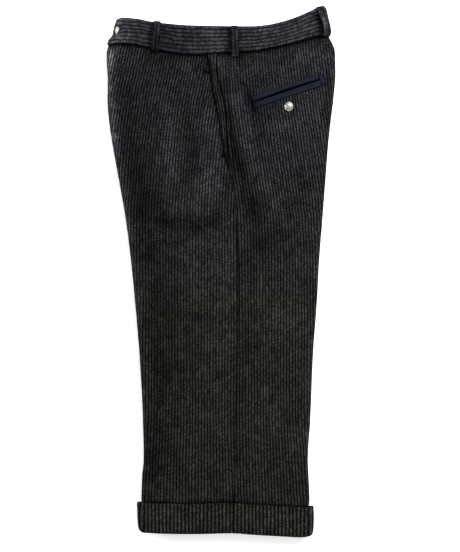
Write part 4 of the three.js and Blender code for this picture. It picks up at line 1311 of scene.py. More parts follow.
@dataclass
class Waistband:
    """The left half of the waistband, with its ribs running along it.

    Args:
        ribs: How many ribs it has.
        rise: Their height.
        samples: Rows for each rib.
        columns: Points along each row.
    """

    ribs: int = 7
    rise: float = 0.95
    samples: int = 6
    columns: int = 170

    def build(self) -> Piece:
        """Makes the piece."""
        start = BAND_SEAM + 0.3
        stations = np.linspace(start, BAND_TOP, self.ribs * self.samples + 1)

        def outer(at: float) -> Chain:
            """Gives the face with the ribs that run along the band."""
            here = section(at)
            share = np.linspace(0, 1, self.columns)
            run = -here.row["tuck"] + (here.width + 2 * here.row["tuck"]) * share
            up = (at - start) / (BAND_TOP - start)
            wander = 0.07 * np.sin(run / 13.0) + 0.05 * np.sin(run / 5.1 + 2)
            rib = up * self.ribs + wander * ease(min(up, 1 - up) * 8)
            rise = self.rise * (1.35 if up < 1 / self.ribs else 1.0)
            depth = -BAND_PROUD - rise * rib_profile(rib - 0.5)
            depth = depth + 1.1 * bell(at - start, 0.9) + 1.4 * bell(BAND_TOP - at, 1.2)
            ripple = 0.35 * np.sin(run / 31.0 + 0.6) + 0.25 * np.sin(run / 14.0 + at / 9.0)
            return Chain(run, depth + ripple * 0.6, (rib - 0.5) * BAND_RIB_PITCH)

        def inner(at: float) -> Chain:
            """Gives the plain face."""
            here = section(at)
            return plain_chain(-here.row["tuck"], here.width + here.row["tuck"])

        piece = cloth_wall("waist_strip", stations, outer, inner)
        self.turn_weave(piece)
        return piece

    def turn_weave(self, piece: Piece) -> None:
        """Lays the weave's second coordinate along the band."""
        layer = piece.data.uv_layers["weave"]
        loops = np.empty(len(piece.data.loops), int)
        piece.data.loops.foreach_get("vertex_index", loops)
        places = np.empty(len(piece.data.vertices) * 3)
        piece.data.vertices.foreach_get("co", places)
        uv = np.empty(len(loops) * 2, np.float32)
        layer.data.foreach_get("uv", uv)
        uv = uv.reshape(-1, 2)
        uv[:, 1] = places.reshape(-1, 3)[loops, 0]
        layer.data.foreach_set("uv", uv.ravel())


@dataclass
class Cuff:
    """The turned-up cuff of the upper leg, in a front and a back part.

    Args:
        rise: The height of its ribs.
    """

    rise: float = 0.9

    def proud(self, at: float) -> float:
        """Gives how far the cuff stands out from the leg, rounded at hem and top."""
        table = curves(("at", "out"), ((0, 0.3), (1.0, 1.5), (3, 2.35), (8, 2.8), (28, 3.2), (44, 2.9),
                                       (48.4, 2.6), (CUFF_TOP - 0.15, 1.4)))
        return float(table["out"](at))

    def build(self, side: Side) -> Piece:
        """Makes one part.

        Args:
            side: Which one.

        Returns:
            The piece.
        """
        is_front = side is Side.FRONT
        stations = np.array([0, 0.5, 1.2, 2.2, 3.5, 5.5, 8, 12, 16, 20, 24, 28, 32, 36, 40, 44, 47, 48.6,
                             49.4, CUFF_TOP - 0.15])
        ribs = RibField(CUFF_RIB_PITCH, None, self.rise, wander=0.4)

        def ends(at: float) -> Two:
            """Gives the part's first and last run."""
            return side_ends(side, at, seam_run)

        spans = ribs.spans(stations, ends)

        def outer(at: float) -> Chain:
            """Gives the ribbed face, standing out from the leg."""
            start, end = ends(at)
            here = section(at)
            chain = ribs.chain(at, spans, start, end)
            past = np.maximum(-chain.run, chain.run - here.width) / here.row["tuck"]
            from_edge = end - chain.run if is_front else chain.run - start
            ditch = 0.9 * bell(from_edge, 1.6)
            chain.depth = chain.depth - self.proud(at) * (1 - ease(past)) + ditch
            # Painted shade at the hem, under the cuff's top and beside the side seam
            edges = 0.5 * bell(at, 3.2) + 0.4 * bell(CUFF_TOP - at, 1.2)
            chain.shade = np.clip(edges + 0.5 * bell(from_edge, 1.0), 0, 1)
            return chain

        return cloth_wall(f"{side.value}_turn_up", stations, outer, lambda at: plain_chain(*ends(at)))


def laid_strip(
    name: str,
    rows: Sequence[Sequence[Two]],
    outer: Callable[[int, int], float],
    inner: Callable[[int, int], float],
    weave: Callable[[int, int], Two],
    shade: Callable[[int, int], float] = lambda i, j: 0.0,
) -> Piece:
    """Makes a strip that lies on the cloth.

    Args:
        name: The piece's name.
        rows: The station and run of each point, row by row.
        outer: Gives the depth of the outer face at a row and column.
        inner: Gives the depth of the inner face.
        weave: Gives the weave's coordinates.
        shade: Gives how far each point lies in the painted shade of an edge.

    Returns:
        The closed piece.
    """
    shape = Shape()
    outer_rows = []
    inner_rows = []
    for i, row in enumerate(rows):
        threads = np.array([weave(i, j) for j in range(len(row))], float)
        darks = np.array([shade(i, j) for j in range(len(row))], float)
        for depths, kept in ((outer, outer_rows), (inner, inner_rows)):
            places = np.array([place(at, run, depths(i, j)) for j, (at, run) in enumerate(row)])
            kept.append(shape.add(places, threads, darks))
    for i in range(len(rows) - 1):
        shape.strip(outer_rows[i], outer_rows[i + 1])
        shape.strip(inner_rows[i + 1], inner_rows[i])
        shape.face(inner_rows[i][0], outer_rows[i][0], outer_rows[i + 1][0], inner_rows[i + 1][0])
        shape.face(outer_rows[i][-1], inner_rows[i][-1], inner_rows[i + 1][-1], outer_rows[i + 1][-1])
    shape.strip(inner_rows[0], outer_rows[0])
    shape.strip(outer_rows[-1], inner_rows[-1])
    return shape.build(name)


@dataclass
class BeltLoop:
    """A narrow folded loop over the waistband, with a raised edge along each side.

    Args:
        name: The piece's name.
        foot: The station of its foot.
        top: The station of its top.
        middle: Gives the run of its middle at a station.
        width: Its width.
        wall: Its thickness at the ridges.
        columns: Points across it.
    """

    name: str
    foot: float
    top: float
    middle: Callable[[float], float]
    width: float = 11.6
    wall: float = 2.1
    columns: int = 21

    def build(self) -> Piece:
        """Makes the piece."""
        over = curves(("at", "over"), (
            (self.foot, RIB_RISE + 0.2), (self.foot * 0.4 + BAND_SEAM * 0.6, RIB_RISE + 1.2),
            (BAND_SEAM + 1, 3.1), (BAND_SEAM + 10, 4.2), (BAND_SEAM + 20, 4.4), (BAND_SEAM + 32, 4.2),
            (BAND_TOP - 3, 3.5), (self.top, 2.9),
        ))["over"]
        inside = np.arange(self.foot + 2.4, self.top - 2.2, 1.8)
        stations = np.concatenate([[self.foot, self.foot + 0.5, self.foot + 1.3], inside,
                                   [self.top - 1.2, self.top - 0.5, self.top]])
        share = np.linspace(-0.5, 0.5, self.columns)
        rows = [[(at, self.middle(at) + s * self.width * (1 - 0.2 * math.exp(-(self.top - at) / 1.4)))
                 for s in share] for at in stations]

        def from_end(i: int) -> float:
            """Gives how far a row is from the nearer end."""
            return float(min(stations[i] - self.foot, self.top - stations[i]))

        def crown(i: int, j: int) -> float:
            """Gives the loop's height, with a ridge along each side and rounded edges."""
            edge = (0.5 - abs(share[j])) * self.width
            ridge = 0.8 * float(rib_profile(np.array(share[j] * 2 + 0.5)))
            end = 0.3 + 0.7 * rounded(from_end(i), 1.3)
            return (self.wall - 0.7 + ridge) * rounded(edge, 1.5) * end

        def dark(i: int, j: int) -> float:
            """Gives the painted shade along the edges and at the ends."""
            edge = (0.5 - abs(share[j])) * self.width
            return min(1.0, 0.9 * bell(edge, 0.7) + 0.6 * bell(from_end(i), 1.0))

        return laid_strip(
            self.name, rows,
            lambda i, j: -float(over(stations[i])) - 0.25 - crown(i, j),
            lambda i, j: -float(over(stations[i])),
            lambda i, j: ((share[j] * 2 + 0.5) * BAND_RIB_PITCH, stations[i]),
            dark,
        )


def leaning(foot: float, foot_x: float, top: float, top_x: float) -> Callable[[float], float]:
    """Gives the middle line of a loop that leans between two places.

    Args:
        foot: The station of its foot.
        foot_x: Where the foot is, across the garment.
        top: The station of its top.
        top_x: Where the top is.

    Returns:
        The run of the middle at a station.
    """
    return lambda at: section(at).run_at(foot_x + (top_x - foot_x) * (at - foot) / (top - foot))


# The back loop's middle follows the back fold, this far inside it
BACK_LOOP_INSIDE = curves(("at", "run"), (
    (771, 13.5), (780, 10), (790, 9.8), (800, 11.8), (808, 14), (817, 16.8),
))["run"]


# ---- The back pocket ----


@dataclass
class BackPocket:
    """A slanted slit between two bound welts, with a round stitched end towards the back fold.

    Args:
        start: The slit's inner end, across and up the garment.
        end: Where its round end starts.
        upper: How far the upper welt reaches above the slit's middle line.
        lower: How far the lower one reaches below it.
        slit: The width of the slit.
        bow: How far the slit's middle bows up.
        end_reach: How far the round end reaches past the slit.
        wall: The height of a welt.
        columns: Points across each welt.
        along: Rows beside the slit.
        end_rows: Rows of the round end.
        stitches: Stitches round the end.
        stitch_step: How far apart the stitches across both ends are.
        stitch_rise: How far the stitches stand off the ribs.
    """

    start: Two = (49.3, 673.1)
    end: Two = (153.5, 708.7)
    upper: float = 9.2
    lower: float = 10.6
    slit: float = 2.2
    bow: float = 0.6
    end_reach: float = 9.8
    wall: float = 1.7
    columns: int = 10
    along: int = 56
    end_rows: int = 14
    stitches: int = 17
    stitch_step: float = 1.9
    stitch_rise: float = 2.7

    def __post_init__(self) -> None:
        """Works out the slit's length and slant."""
        self.length = math.dist(self.start, self.end)
        self.slant = math.atan2(self.end[1] - self.start[1], self.end[0] - self.start[0])

    def spot(self, along: float, off: float) -> Two:
        """Gives the station and run of a place beside the slit.

        Args:
            along: How far along the slit.
            off: How far above its middle line.

        Returns:
            The station and the run.
        """
        bowed = off + self.bow * math.sin(math.pi * min(max(along / self.length, 0.0), 1.0))
        x = self.start[0] + along * math.cos(self.slant) - math.sin(self.slant) * bowed
        y = self.start[1] + along * math.sin(self.slant) + math.cos(self.slant) * bowed
        at = station_of(x, y)
        return at, section(at).run_at(x)

    def gape(self, along: float) -> float:
        """Gives half the slit's opening, which closes towards both ends."""
        share = min(max(along / self.length, 0.0), 1.0)
        return 0.15 + self.slit / 2 * math.sin(math.pi * (share * 0.94 + 0.03)) ** 0.6 * (share < 1)

    def welt(self, is_upper: bool) -> Piece:
        """Makes one welt.

        Args:
            is_upper: Whether it is the one above the slit.

        Returns:
            The piece.
        """
        sign = 1 if is_upper else -1
        reach = self.upper if is_upper else self.lower
        across = np.linspace(0, 1, self.columns)
        turn = np.sin(np.linspace(0, math.pi / 2, self.end_rows + 1))[1:-1]
        beside = np.linspace(-0.8, self.length, self.along)
        along = np.concatenate([beside, self.length + turn * self.end_reach])
        end = np.maximum(reach * np.sqrt(1 - turn ** 2), self.slit)
        outer = np.concatenate([np.full(self.along, reach), end])
        inner = np.array([self.gape(a) for a in along])
        rows = [[self.spot(a, sign * (i + (o - i) * c)) for c in across]
                for a, o, i in zip(along, outer, inner)]

        def crown(i: int, j: int) -> float:
            """Gives the welt's height, with rounded edges and a little pucker."""
            height = outer[i] - inner[i]
            lip = rounded(height * across[j], 2.0) if along[i] < self.length else 1.0
            outer_edge = rounded(height * (1 - across[j]), 1.4)
            ends = rounded(min(along[i], along[-1] + 0.4 - along[i]), 1.6)
            pucker = 0.12 * math.sin(along[i] / 2.3 + across[j] * 2)
            pull = 0.35 * bell(along[i] - self.length, 1.2)
            return (self.wall * 0.95 + pucker - pull) * min(lip, outer_edge) * ends

        def dark(i: int, j: int) -> float:
            """Gives the painted shade along the slit, the edge and the seam, and at the inner end."""
            height = outer[i] - inner[i]
            lip = bell(height * across[j], 1.0) * (along[i] < self.length)
            edge = bell(height * (1 - across[j]), 1.3)
            seam = bell(along[i] - self.length, 0.9)
            return min(1.0, 0.9 * lip + 0.75 * edge + 0.6 * seam + 0.5 * bell(along[i], 2.5))

        rest = -RIB_RISE - 0.1
        return laid_strip(
            "welt_above" if is_upper else "welt_below", rows,
            lambda i, j: rest - 0.25 - crown(i, j),
            lambda i, j: rest,
            lambda i, j: (across[j] * reach, along[i]),
            dark,
        )

    def lining(self) -> Piece:
        """Makes the lining that shows in the slit, which is dressed near black as painted shade."""
        along = np.linspace(0.2, self.length + 0.4, 24)
        rows = [[self.spot(a, off) for off in (-1.9, 0.0, 1.9)] for a in along]
        return laid_strip(
            "slit_lining", rows, lambda i, j: -RIB_RISE - 0.08, lambda i, j: -0.2,
            lambda i, j: (j * 1.9, along[i]),
        )

    def end_stitches(self) -> list[Four]:
        """Gives the stitches round the pocket's ends, for a row of stitches."""
        spots = []
        lift = -RIB_RISE - self.stitch_rise
        for turn in np.linspace(-1.45, 1.45, self.stitches):
            reach = self.upper if turn > 0 else self.lower
            at, run = self.spot(self.length + math.cos(turn) * 8.2, math.sin(turn) * (reach - 1.6))
            spots.append((at, run, lift, self.slant + turn + math.pi / 2))
        for along, low, high in ((self.length + 0.3, -8.6, 7.6), (0.6, -9.0, 8.0)):
            for off in np.arange(low, high, self.stitch_step):
                at, run = self.spot(along, off)
                spots.append((at, run, lift, self.slant + math.pi / 2))
        return spots


# ---- Hard trimmings and stitches ----


def clear_selection() -> None:
    """Deselects everything."""
    bpy.ops.object.select_all(action="DESELECT")


@dataclass
class DomeButton:
    """A domed metal button on a short foot.

    Args:
        name: The piece's name.
        at: The station of its middle.
        run: The run of its middle.
        above: How far its foot stands off the cloth.
        radius: Its radius.
        height: Its height.
    """

    name: str
    at: float
    run: float
    above: float
    radius: float = 7.0
    height: float = 5.2

    def profile(self) -> list[Two]:
        """Gives radius and height up the button's outside."""
        r = self.radius
        h = self.height
        dome = [(r * 0.83 * math.cos(a), h * 0.56 + h * 0.44 * math.sin(a))
                for a in np.linspace(0.1, math.pi / 2 - 0.06, 9)]
        return [(3.0, 0.0), (3.0, 0.9), (r * 0.78, 1.0), (r * 0.95, 1.25), (r, 1.7), (r, 2.3),
                (r * 0.96, 2.65), (r * 0.9, 2.7), (r * 0.865, 2.5), *dome]

    def build(self) -> Piece:
        """Makes the piece: a disc raised ring by ring, then turned to face off the cloth."""
        clear_selection()
        rings = self.profile()
        bpy.ops.mesh.primitive_circle_add(vertices=48, radius=rings[0][0] * MM, fill_type="NGON")
        piece = bpy.context.active_object
        piece.name = self.name
        bpy.ops.object.mode_set(mode="EDIT")
        bpy.ops.mesh.select_all(action="SELECT")
        for before, after in zip(rings, rings[1:]):
            bpy.ops.mesh.extrude_region_move(
                TRANSFORM_OT_translate={"value": (0, 0, (after[1] - before[1]) * MM)})
            ratio = after[0] / before[0]
            bpy.ops.transform.resize(value=(ratio, ratio, 1), center_override=(0, 0, after[1] * MM))
        bpy.ops.mesh.select_all(action="SELECT")
        bpy.ops.mesh.normals_make_consistent(inside=False)
        bpy.ops.object.mode_set(mode="OBJECT")
        self.seat(piece)
        piece.data.shade_smooth()
        return piece

    def seat(self, piece: Piece) -> None:
        """Puts the button on the cloth, facing off it."""
        reach = 3.0
        across = place(self.at, self.run + reach, 0.0) - place(self.at, self.run - reach, 0.0)
        upward = place(self.at + reach, self.run, 0.0) - place(self.at - reach, self.run, 0.0)
        outward = np.cross(across, upward)
        outward = Vector(outward / np.linalg.norm(outward))
        shift = Vector((SHIFT_X, SHIFT_Y, 0))
        middle = Vector(place(self.at, self.run, 0.0)) + outward * self.above + shift
        turn = Vector((0, 0, 1)).rotation_difference(outward).to_matrix().to_4x4()
        turn.translation = middle * MM
        piece.data.transform(turn)
        piece.data.update()


@dataclass
class StitchRow:
    """Short stitches of round thread along a line on the cloth, joined into one piece.

    Args:
        name: The piece's name.
        spots: The station, run and depth of the middle of each stitch, and the direction in which it
            lies, in radians from across the garment.
        length: The length of one stitch.
        thickness: The thread's thickness.
    """

    name: str
    spots: list[Four]
    length: float
    thickness: float

    def build(self) -> Piece:
        """Makes the piece from one modelled stitch, copied to each place."""
        clear_selection()
        bpy.ops.mesh.primitive_cylinder_add(vertices=7, radius=self.thickness / 2 * MM,
                                            depth=self.length * MM)
        master = bpy.context.active_object
        bpy.ops.object.mode_set(mode="EDIT")
        bpy.ops.mesh.select_all(action="SELECT")
        bpy.ops.mesh.bevel(offset=self.thickness * 0.3 * MM, segments=1, affect="EDGES")
        bpy.ops.object.mode_set(mode="OBJECT")
        verts = np.array([v.co[:] for v in master.data.vertices]) / MM
        faces = [tuple(p.vertices) for p in master.data.polygons]
        bpy.data.objects.remove(master, do_unlink=True)
        shape = Shape()
        for at, run, depth, angle in self.spots:
            middle = place(at, run, depth)
            beside = place(at, run + 1.0, depth) - place(at, run - 1.0, depth)
            upward = place(at + 1.0, run, depth) - place(at - 1.0, run, depth)
            along = math.cos(angle) * beside / np.linalg.norm(beside)
            along = along + math.sin(angle) * upward / np.linalg.norm(upward)
            along = along / np.linalg.norm(along)
            out = np.cross(beside, upward)
            out = out / np.linalg.norm(out)
            side = np.cross(along, out)
            out = np.cross(side, along)
            sag = (verts[:, 2] / self.length * 2) ** 2 * self.thickness * 0.45
            local = verts[:, :1] * side + (verts[:, 1:2] - sag[:, None]) * out + verts[:, 2:3] * along
            index = shape.add(middle + local, np.zeros((len(verts), 2)))
            for face in faces:
                shape.face(*[int(index[c]) for c in face])
        return shape.build(self.name)


# A bar tack's short stitches and its long ones: how far they stand off the ribs, and how far apart they are
TACK_SHORT_RISE = 2.1
TACK_SHORT_STEP = 0.62
TACK_LONG_RISE = 1.7
TACK_LONG_STEP = 1.7


def bar_tack(x: float, y: float, length: float = 9.0, height: float = 2.2) -> list[Four]:
    """Gives the stitches of a bar tack: close short ones across two long ones.

    Args:
        x: Its middle across the garment.
        y: Its middle up the garment.
        length: Its length across the garment.
        height: Its height.

    Returns:
        The station, run, depth and direction of each stitch.
    """
    spots = []
    for along in np.arange(-length / 2, length / 2 + 0.01, TACK_SHORT_STEP):
        at = station_of(x + along, y)
        run = section(at).run_at(x + along)
        spots.append((at, run, -RIB_RISE - TACK_SHORT_RISE, math.pi / 2 + 0.08))
    for off in (-height / 4, height / 4):
        for along in np.arange(-length / 2 + 1, length / 2, TACK_LONG_STEP):
            at = station_of(x + along, y + off)
            spots.append((at, section(at).run_at(x + along), -RIB_RISE - TACK_LONG_RISE, 0.0))
    return spots


# ---- The hidden layers ----


@dataclass
class HiddenLayers:
    """The lower leg and all that lies folded inside, as one rounded form with layered edges.

    Args:
        row_step: About how far apart the rows are.
        end_step: The same beside the waistband.
        top_steps: Points across the top.
        lobe_points: Points down each side.
        bottom_inset: How far in from the edge the underside starts.
        shoulder_inset: The same for the top of the lower leg.
        groove_clear: How far the groove between the legs stands off the upper one.
        top_clear: How far the top lies below the visible cloth.
        pocket_depth: How deep the top lies under the side pocket.
        pocket_reach: How far beside the pocket it does.
    """

    row_step: float = 8.0
    end_step: float = 3.3
    top_steps: int = 26
    lobe_points: int = 34
    bottom_inset: float = 7.0
    shoulder_inset: float = 4.5
    groove_clear: float = 0.5
    top_clear: float = 0.4
    pocket_depth: float = 4.6
    pocket_reach: float = 14.0

    def side_path(self, at: float, side: Side) -> tuple[np.ndarray, np.ndarray]:
        """Gives the side of one section, from the top down to the underside.

        Args:
            at: The station.
            side: Which edge.

        Returns:
            The x and z of each point, and its rib coordinate.
        """
        here = section(at)
        row = here.row
        is_front = side is Side.FRONT
        arc = here.front_arc if is_front else here.back_arc
        inward = 1 if is_front else -1
        edge = row["front"] if is_front else row["back"]
        inset = row["front_inset"] if is_front else row["back_inset"]
        depth = CLOTH + LAYER_GAP

        def spot(run: float, below: float) -> np.ndarray:
            """Gives the x and z of a place near this side's fold."""
            point = place(at, run if is_front else here.width - run, below)
            return point[[0, 2]]

        end = -row["tuck"] - LAYER_GAP
        inner = [spot(run, depth) for run in (arc * 0.35, 0.0, -row["tuck"] / 2)]
        inner.append(spot(end, depth))
        mouth = spot(end, -self.groove_clear)
        turned = float(np.clip((row["tuck"] - 1) / 7, 0, 1))
        shoulder = 0.4 + (self.shoulder_inset - 0.4) * turned + max(inset, 0)
        shoulder_z = mouth[1] - 0.5
        rim = row["lobe_rim"]
        upper = np.linspace(math.pi / 2, 0, 20)
        lower = np.linspace(0, math.pi / 2, 20)[1:]
        x = np.concatenate([shoulder - (shoulder - inset) * np.cos(upper),
                            self.bottom_inset - (self.bottom_inset - inset) * np.cos(lower)])
        z = np.concatenate([rim + (shoulder_z - rim) * np.sin(upper), rim * (1 - np.sin(lower))])
        run = np.concatenate([[0], np.cumsum(np.hypot(np.diff(x), np.diff(z)))])
        even = np.linspace(0, run[-1], self.lobe_points)
        x = np.interp(even, run, x)
        z = np.interp(even, run, z)
        z[-1] = 0.0
        along_x = np.gradient(x)
        along_z = np.gradient(z)
        length = np.hypot(along_x, along_z)
        fade = ease(np.minimum(even, run[-1] - even) / 2.5)
        rib = even / RIB_PITCH
        lift = RIB_RISE * 0.8 * (rib_profile(rib) - 0.5) * fade
        x = x + along_z / length * lift
        z = np.maximum(z + along_x / length * lift, 0.0)
        z[-1] = 0.0
        lobe = np.stack([edge + inward * x, z], axis=-1)
        across = np.concatenate([np.linspace(-4, -1, 5) * 0.5, rib]) * RIB_PITCH
        return np.concatenate([inner, [mouth], lobe]), across

    def top_path(self, at: float) -> np.ndarray:
        """Gives the top of one section, under the visible cloth."""
        here = section(at)
        start = here.front_arc * 0.7
        end = here.width - here.back_arc * 0.7
        runs = np.linspace(start, end, self.top_steps)
        depth = np.full(len(runs), CLOTH + LAYER_GAP + self.top_clear)
        if POCKET_FOOT - 8 < at <= BAND_SEAM:
            reach = self.pocket_reach
            near = (runs > mouth_run(at) - reach) & (runs < seam_run(at) + reach)
            depth[near] = self.pocket_depth
        return place(at, runs, depth)[:, [0, 2]]

    def set_back(self, level: np.ndarray) -> np.ndarray:
        """Gives how deep each level of an open end is set back, so that its layers show."""
        table = curves(("level", "back"), (
            (0, 0), (0.10, 0.3), (0.22, 3.2), (0.30, 1.0), (0.40, 4.6), (0.50, 4.2), (0.56, 1.0),
            (0.70, 0.2), (0.76, 3.4), (0.82, 0.3), (1, 0.2),
        ))
        return table["back"](level)

    def build(self) -> Piece:
        """Makes the piece."""
        shape = Shape()
        stations = np.concatenate([
            [2.0, 5.0, 9.0], np.arange(14, 47, self.row_step), [50.1], np.arange(54, 770, self.row_step),
            np.arange(BAND_SEAM + 1, BAND_TOP - 2, self.end_step),
        ])
        rows = []
        for at in stations:
            top = self.top_path(at)
            front, across = self.side_path(at, Side.FRONT)
            back, _ = self.side_path(at, Side.BACK)
            front = np.concatenate([top[:1], front])
            back = np.concatenate([top[-1:], back])
            across = np.concatenate([[-3 * RIB_PITCH], across])
            share = (top[:, 0] - top[0, 0]) / (top[-1, 0] - top[0, 0])
            bottom_x = front[-1, 0] + (back[-1, 0] - front[-1, 0]) * share
            bottom = np.stack([bottom_x, np.zeros(len(top))], -1)
            rows.append((at, top, front, back, bottom, across, share))

        def add(at: float, points: np.ndarray, weave_across: np.ndarray,
                back_by: np.ndarray | float) -> np.ndarray:
            """Adds points of one section, set back from its station."""
            y = height_up(at, points[:, 0]) + back_by
            places = np.stack([points[:, 0], y, points[:, 1]], axis=-1)
            return shape.add(places, np.stack([weave_across, y], axis=-1))

        chains = []
        for row in rows:
            at, top, front, back, bottom, across, share = row
            end = 1 if row is rows[0] else -1 if row is rows[-1] else 0
            front_index, back_index = (
                add(at, edge, across, end * self.set_back(1 - edge[:, 1] / edge[0, 1]))
                for edge in (front, back))
            inside = slice(1, len(top) - 1)
            top_index = add(at, top[inside], top[inside, 0], 0.0)
            under = end * float(self.set_back(np.array(1.0)))
            bottom_index = add(at, bottom[inside], bottom[inside, 0], under)
            chains.append((
                np.concatenate([front_index[:1], top_index, back_index[:1]]),
                np.concatenate([front_index[-1:], bottom_index, back_index[-1:]]),
                front_index, back_index,
            ))
        for low, high in zip(chains, chains[1:]):
            shape.strip(low[0], high[0])
            shape.strip(high[1], low[1])
            shape.strip(high[2], low[2])
            shape.strip(low[3], high[3])
        for row, chain, is_first in ((rows[0], chains[0], True), (rows[-1], chains[-1], False)):
            self.cap(shape, row, chain, is_first, add)
        return shape.build("folded_layers")

    def cap(self, shape: Shape, row: tuple, chain: tuple, is_first: bool, add: Callable) -> None:
        """Closes one open end with a layered face.

        Args:
            shape: The piece so far.
            row: The end's section.
            chain: Its indices.
            is_first: Whether it is the hem's end.
            add: Adds points of a section to the piece.
        """
        at, top, front, back, _, across, share = row
        top_index, bottom_index, front_index, back_index = chain
        end = 1 if is_first else -1
        grid = [top_index]
        for level in range(1, len(front) - 1):
            down = 1 - front[level, 1] / front[0, 1]
            down_back = 1 - back[level, 1] / back[0, 1]
            depth_share = down + (down_back - down) * share
            x = front[level, 0] + (back[level, 0] - front[level, 0]) * share
            z = top[:, 1] * (1 - depth_share)
            points = np.stack([x, z], axis=-1)[1:-1]
            setback = end * self.set_back(depth_share[1:-1])
            index = add(at, points, points[:, 0], setback)
            grid.append(np.concatenate([[front_index[level]], index, [back_index[level]]]))
        grid.append(bottom_index)
        for upper, lower in zip(grid, grid[1:]):
            if is_first:
                shape.strip(lower, upper)
            else:
                shape.strip(upper, lower)


# ---- Studio ----


@dataclass
class Studio:
    """The floor, the lights and the camera.

    Args:
        scale: Millimetres on the garment for each pixel of the frame.
        distance: The camera's height above the cloth, in metres.
        frame_height: The frame's height in pixels.
        middle_x: Where the camera looks, in millimetres.
        middle_y: The same, up the garment.
        cloth_top: The height of the cloth's face, in metres.
        sensor: The side of the camera's square sensor, in millimetres.
        floor_size: The side of the floor, in metres.
        floor_drop: How far the floor lies below the garment, in metres.
        surround: The strength of the light from all round.
    """

    scale: float = 1.55
    distance: float = 3.2
    frame_height: float = 552.0
    middle_x: float = 13.888
    middle_y: float = -5.812
    cloth_top: float = 0.03
    sensor: float = 24.0
    floor_size: float = 9.0
    floor_drop: float = 0.0006
    surround: float = 0.85

    def floor(self) -> None:
        """Makes the floor: one flat plane."""
        clear_selection()
        bpy.ops.mesh.primitive_plane_add(size=self.floor_size, location=(0, 0, -self.floor_drop))
        floor = bpy.context.active_object
        floor.name = "floor"
        floor.data.materials.append(Floor().material())

    def light(self, name: str, place_at: Three, size: float, power: float,
              tint: Three) -> None:
        """Adds a soft square light that looks at the garment.

        Args:
            name: The light's name.
            place_at: Where it hangs, in metres.
            size: The length of its side, in metres.
            power: Its power, in watts.
            tint: Its colour.
        """
        lamp = bpy.data.lights.new(name, "AREA")
        lamp.size = size
        lamp.energy = power
        lamp.color = tint
        holder = bpy.data.objects.new(name, lamp)
        holder.location = place_at
        holder.rotation_euler = (-Vector(place_at)).to_track_quat("-Z", "Y").to_euler()
        bpy.context.scene.collection.objects.link(holder)

    def world(self) -> None:
        """Sets an even pale surrounding light."""
        world = bpy.data.worlds.new("studio")
        world.use_nodes = True
        background = world.node_tree.nodes["Background"]
        background.inputs["Color"].default_value = (1.0, 1.0, 1.0, 1.0)
        background.inputs["Strength"].default_value = self.surround
        bpy.context.scene.world = world

    def camera(self) -> None:
        """Sets the camera straight above the garment."""
        data = bpy.data.cameras.new("camera")
        data.sensor_fit = "VERTICAL"
        data.sensor_height = self.sensor
        data.sensor_width = self.sensor
        data.lens = self.sensor * self.distance / (self.frame_height * self.scale * MM)
        camera = bpy.data.objects.new("camera", data)
        camera.location = (self.middle_x * MM, self.middle_y * MM, self.distance + self.cloth_top)
        bpy.context.scene.collection.objects.link(camera)
        bpy.context.scene.camera = camera

    def build(self) -> None:
        """Makes all of it."""
        self.camera()
        self.floor()
        self.world()
        self.light("key", (1.4, 2.2, 2.5), 2.0, 215, (1.0, 0.985, 0.965))
        self.light("rim", (-2.2, 0.6, 0.7), 0.9, 36, (0.96, 0.98, 1.0))
        bpy.context.scene.view_settings.view_transform = "Standard"


# ---- The whole garment ----


def build_cloth(wool: Material, band_wool: Material, cuff_wool: Material, inner_wool: Material) -> None:
    """Builds and dresses the cloth pieces.

    Args:
        wool: The panels' finish.
        band_wool: The waistband's.
        cuff_wool: The cuffs'.
        inner_wool: The hidden layers'.
    """
    hidden = HiddenLayers().build()
    dress(hidden, inner_wool, Slot.INNER, "hidden_layers")
    panels = Panels()
    cuff = Cuff()
    pieces = (
        (panels.panel(Side.FRONT), wool, Slot.CLOTH, "front_panel", (0.205, 0.722), 0.118),
        (panels.panel(Side.BACK), wool, Slot.CLOTH, "back_panel", (0.190, 0.722), 0.104),
        (PocketFacing().build(), wool, Slot.CLOTH, "pocket_facing", (0.020, 0.207), 0.0022),
        (Waistband().build(), band_wool, Slot.BAND, "waistband", (0.375, 0.046), None),
        (cuff.build(Side.FRONT), cuff_wool, Slot.CLOTH, "cuff_front", (0.160, 0.050), None),
        (cuff.build(Side.BACK), cuff_wool, Slot.CLOTH, "cuff_back", (0.136, 0.050), None),
    )
    for piece, material, slot, node, flat, area in pieces:
        dress(piece, material, slot, node)


def build_loops(wool: Material) -> None:
    """Builds and dresses the belt loops."""
    loops = (
        (BeltLoop("belt_loop_front", 769.5, 818.6, leaning(769.5, -101.5, 818.6, -97.8)),
         "loop_front", 0.053),
        (BeltLoop("belt_loop_side", 765, 817.5, leaning(765, 23.2, 817.5, 21.7)), "loop_side", 0.057),
        (BeltLoop("belt_loop_back", 771, 817.5,
                  lambda at: section(at).width - float(BACK_LOOP_INSIDE(at)), width=12.8),
         "loop_back", 0.050),
    )
    for loop, node, length in loops:
        piece = loop.build()
        dress(piece, wool, Slot.BAND, node)


def build_pocket(navy: Material, thread: Material, dark: Material) -> None:
    """Builds and dresses the back pocket."""
    pocket = BackPocket()
    for is_upper, node, height in ((True, "welt_upper", 0.0100), (False, "welt_lower", 0.0115)):
        welt = pocket.welt(is_upper)
        dress(welt, navy, Slot.WELT, node)
    dress(pocket.lining(), dark, Slot.THREAD)
    dress(StitchRow("pocket_end_stitches", pocket.end_stitches(), 1.7, 0.8).build(), thread, Slot.THREAD)


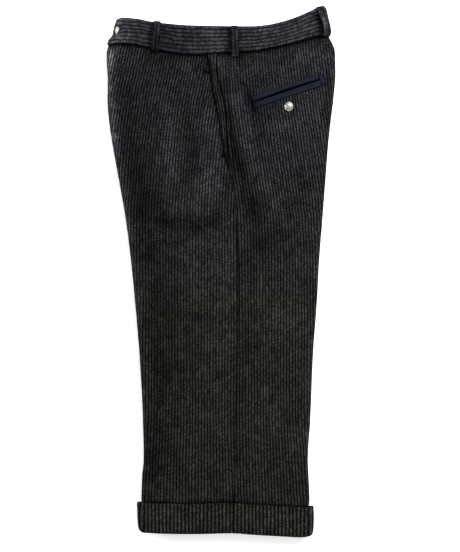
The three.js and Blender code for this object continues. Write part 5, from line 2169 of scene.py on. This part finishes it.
# The places across and up the garment of the pocket's button and of the side pocket's bar tacks
POCKET_BUTTON = (105.7, 666.5)
UPPER_TACK = (-21.0, 720.8)
LOWER_TACK = (6.0, 590.5)


def build_trimmings(metal: Material, thread: Material) -> None:
    """Builds and dresses the buttons and the bar tacks."""
    at = station_of(*POCKET_BUTTON)
    buttons = (
        (DomeButton("pocket_dome", at, section(at).run_at(POCKET_BUTTON[0]), RIB_RISE + 0.1),
         "button_pocket"),
        (DomeButton("waist_dome", 796.0, 6.2, 3.4, radius=5.9, height=4.0), "button_waist"),
    )
    for button, node in buttons:
        dress(button.build(), metal, Slot.METAL, node)
    for name, spot, node in (("tack_above", UPPER_TACK, "bar_tack_top"),
                             ("tack_below", LOWER_TACK, "bar_tack_bottom")):
        dress(StitchRow(name, bar_tack(*spot), 2.6, 1.0).build(), thread, Slot.THREAD, node)


def main() -> None:
    """Builds the garment and the studio around it."""
    logging.basicConfig(level=logging.INFO, format="%(name)s %(message)s")
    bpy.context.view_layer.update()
    wool = RibbedWool("ribbed wool").material()
    # The band's ridges are lighter than the legs', as painted light, and the loops' ridges darker, as
    # painted shade
    band_wool = RibbedWool("ribbed wool along the band", pitch=BAND_RIB_PITCH, ridge=(38, 38, 42.5),
                           groove=(5, 5, 7), bead=3.8, groove_from=0.16, groove_to=0.46, waver=0.12,
                           groove_mix=0.92, grain=0.42).material()
    loop_wool = RibbedWool("ribbed wool of the loops", pitch=BAND_RIB_PITCH, ridge=(32, 32, 35.5),
                           groove=(6, 6, 8), bead=3.4, groove_from=0.2, groove_to=0.5,
                           groove_mix=0.85).material()
    cuff_wool = RibbedWool("ribbed wool of the turn-up", pitch=CUFF_RIB_PITCH, ridge_low=(40, 39.5, 37),
                           groove_from=0.08, groove_to=0.38).material()
    inner_wool = RibbedWool("ribbed wool underneath").material()
    navy = Twill("navy binding").material()
    thread = Thread("dark thread").material()
    # Near-black finish of the slit's lining: painted shade in the slit
    dark = Thread("slit lining in painted shade", (1, 1, 1.5), 0.0).material()
    metal = Metal("pearly silver").material()
    build_cloth(wool, band_wool, cuff_wool, inner_wool)
    build_loops(loop_wool)
    build_pocket(navy, thread, dark)
    build_trimmings(metal, thread)
    Studio().build()


if __name__ == "__main__":
    main()
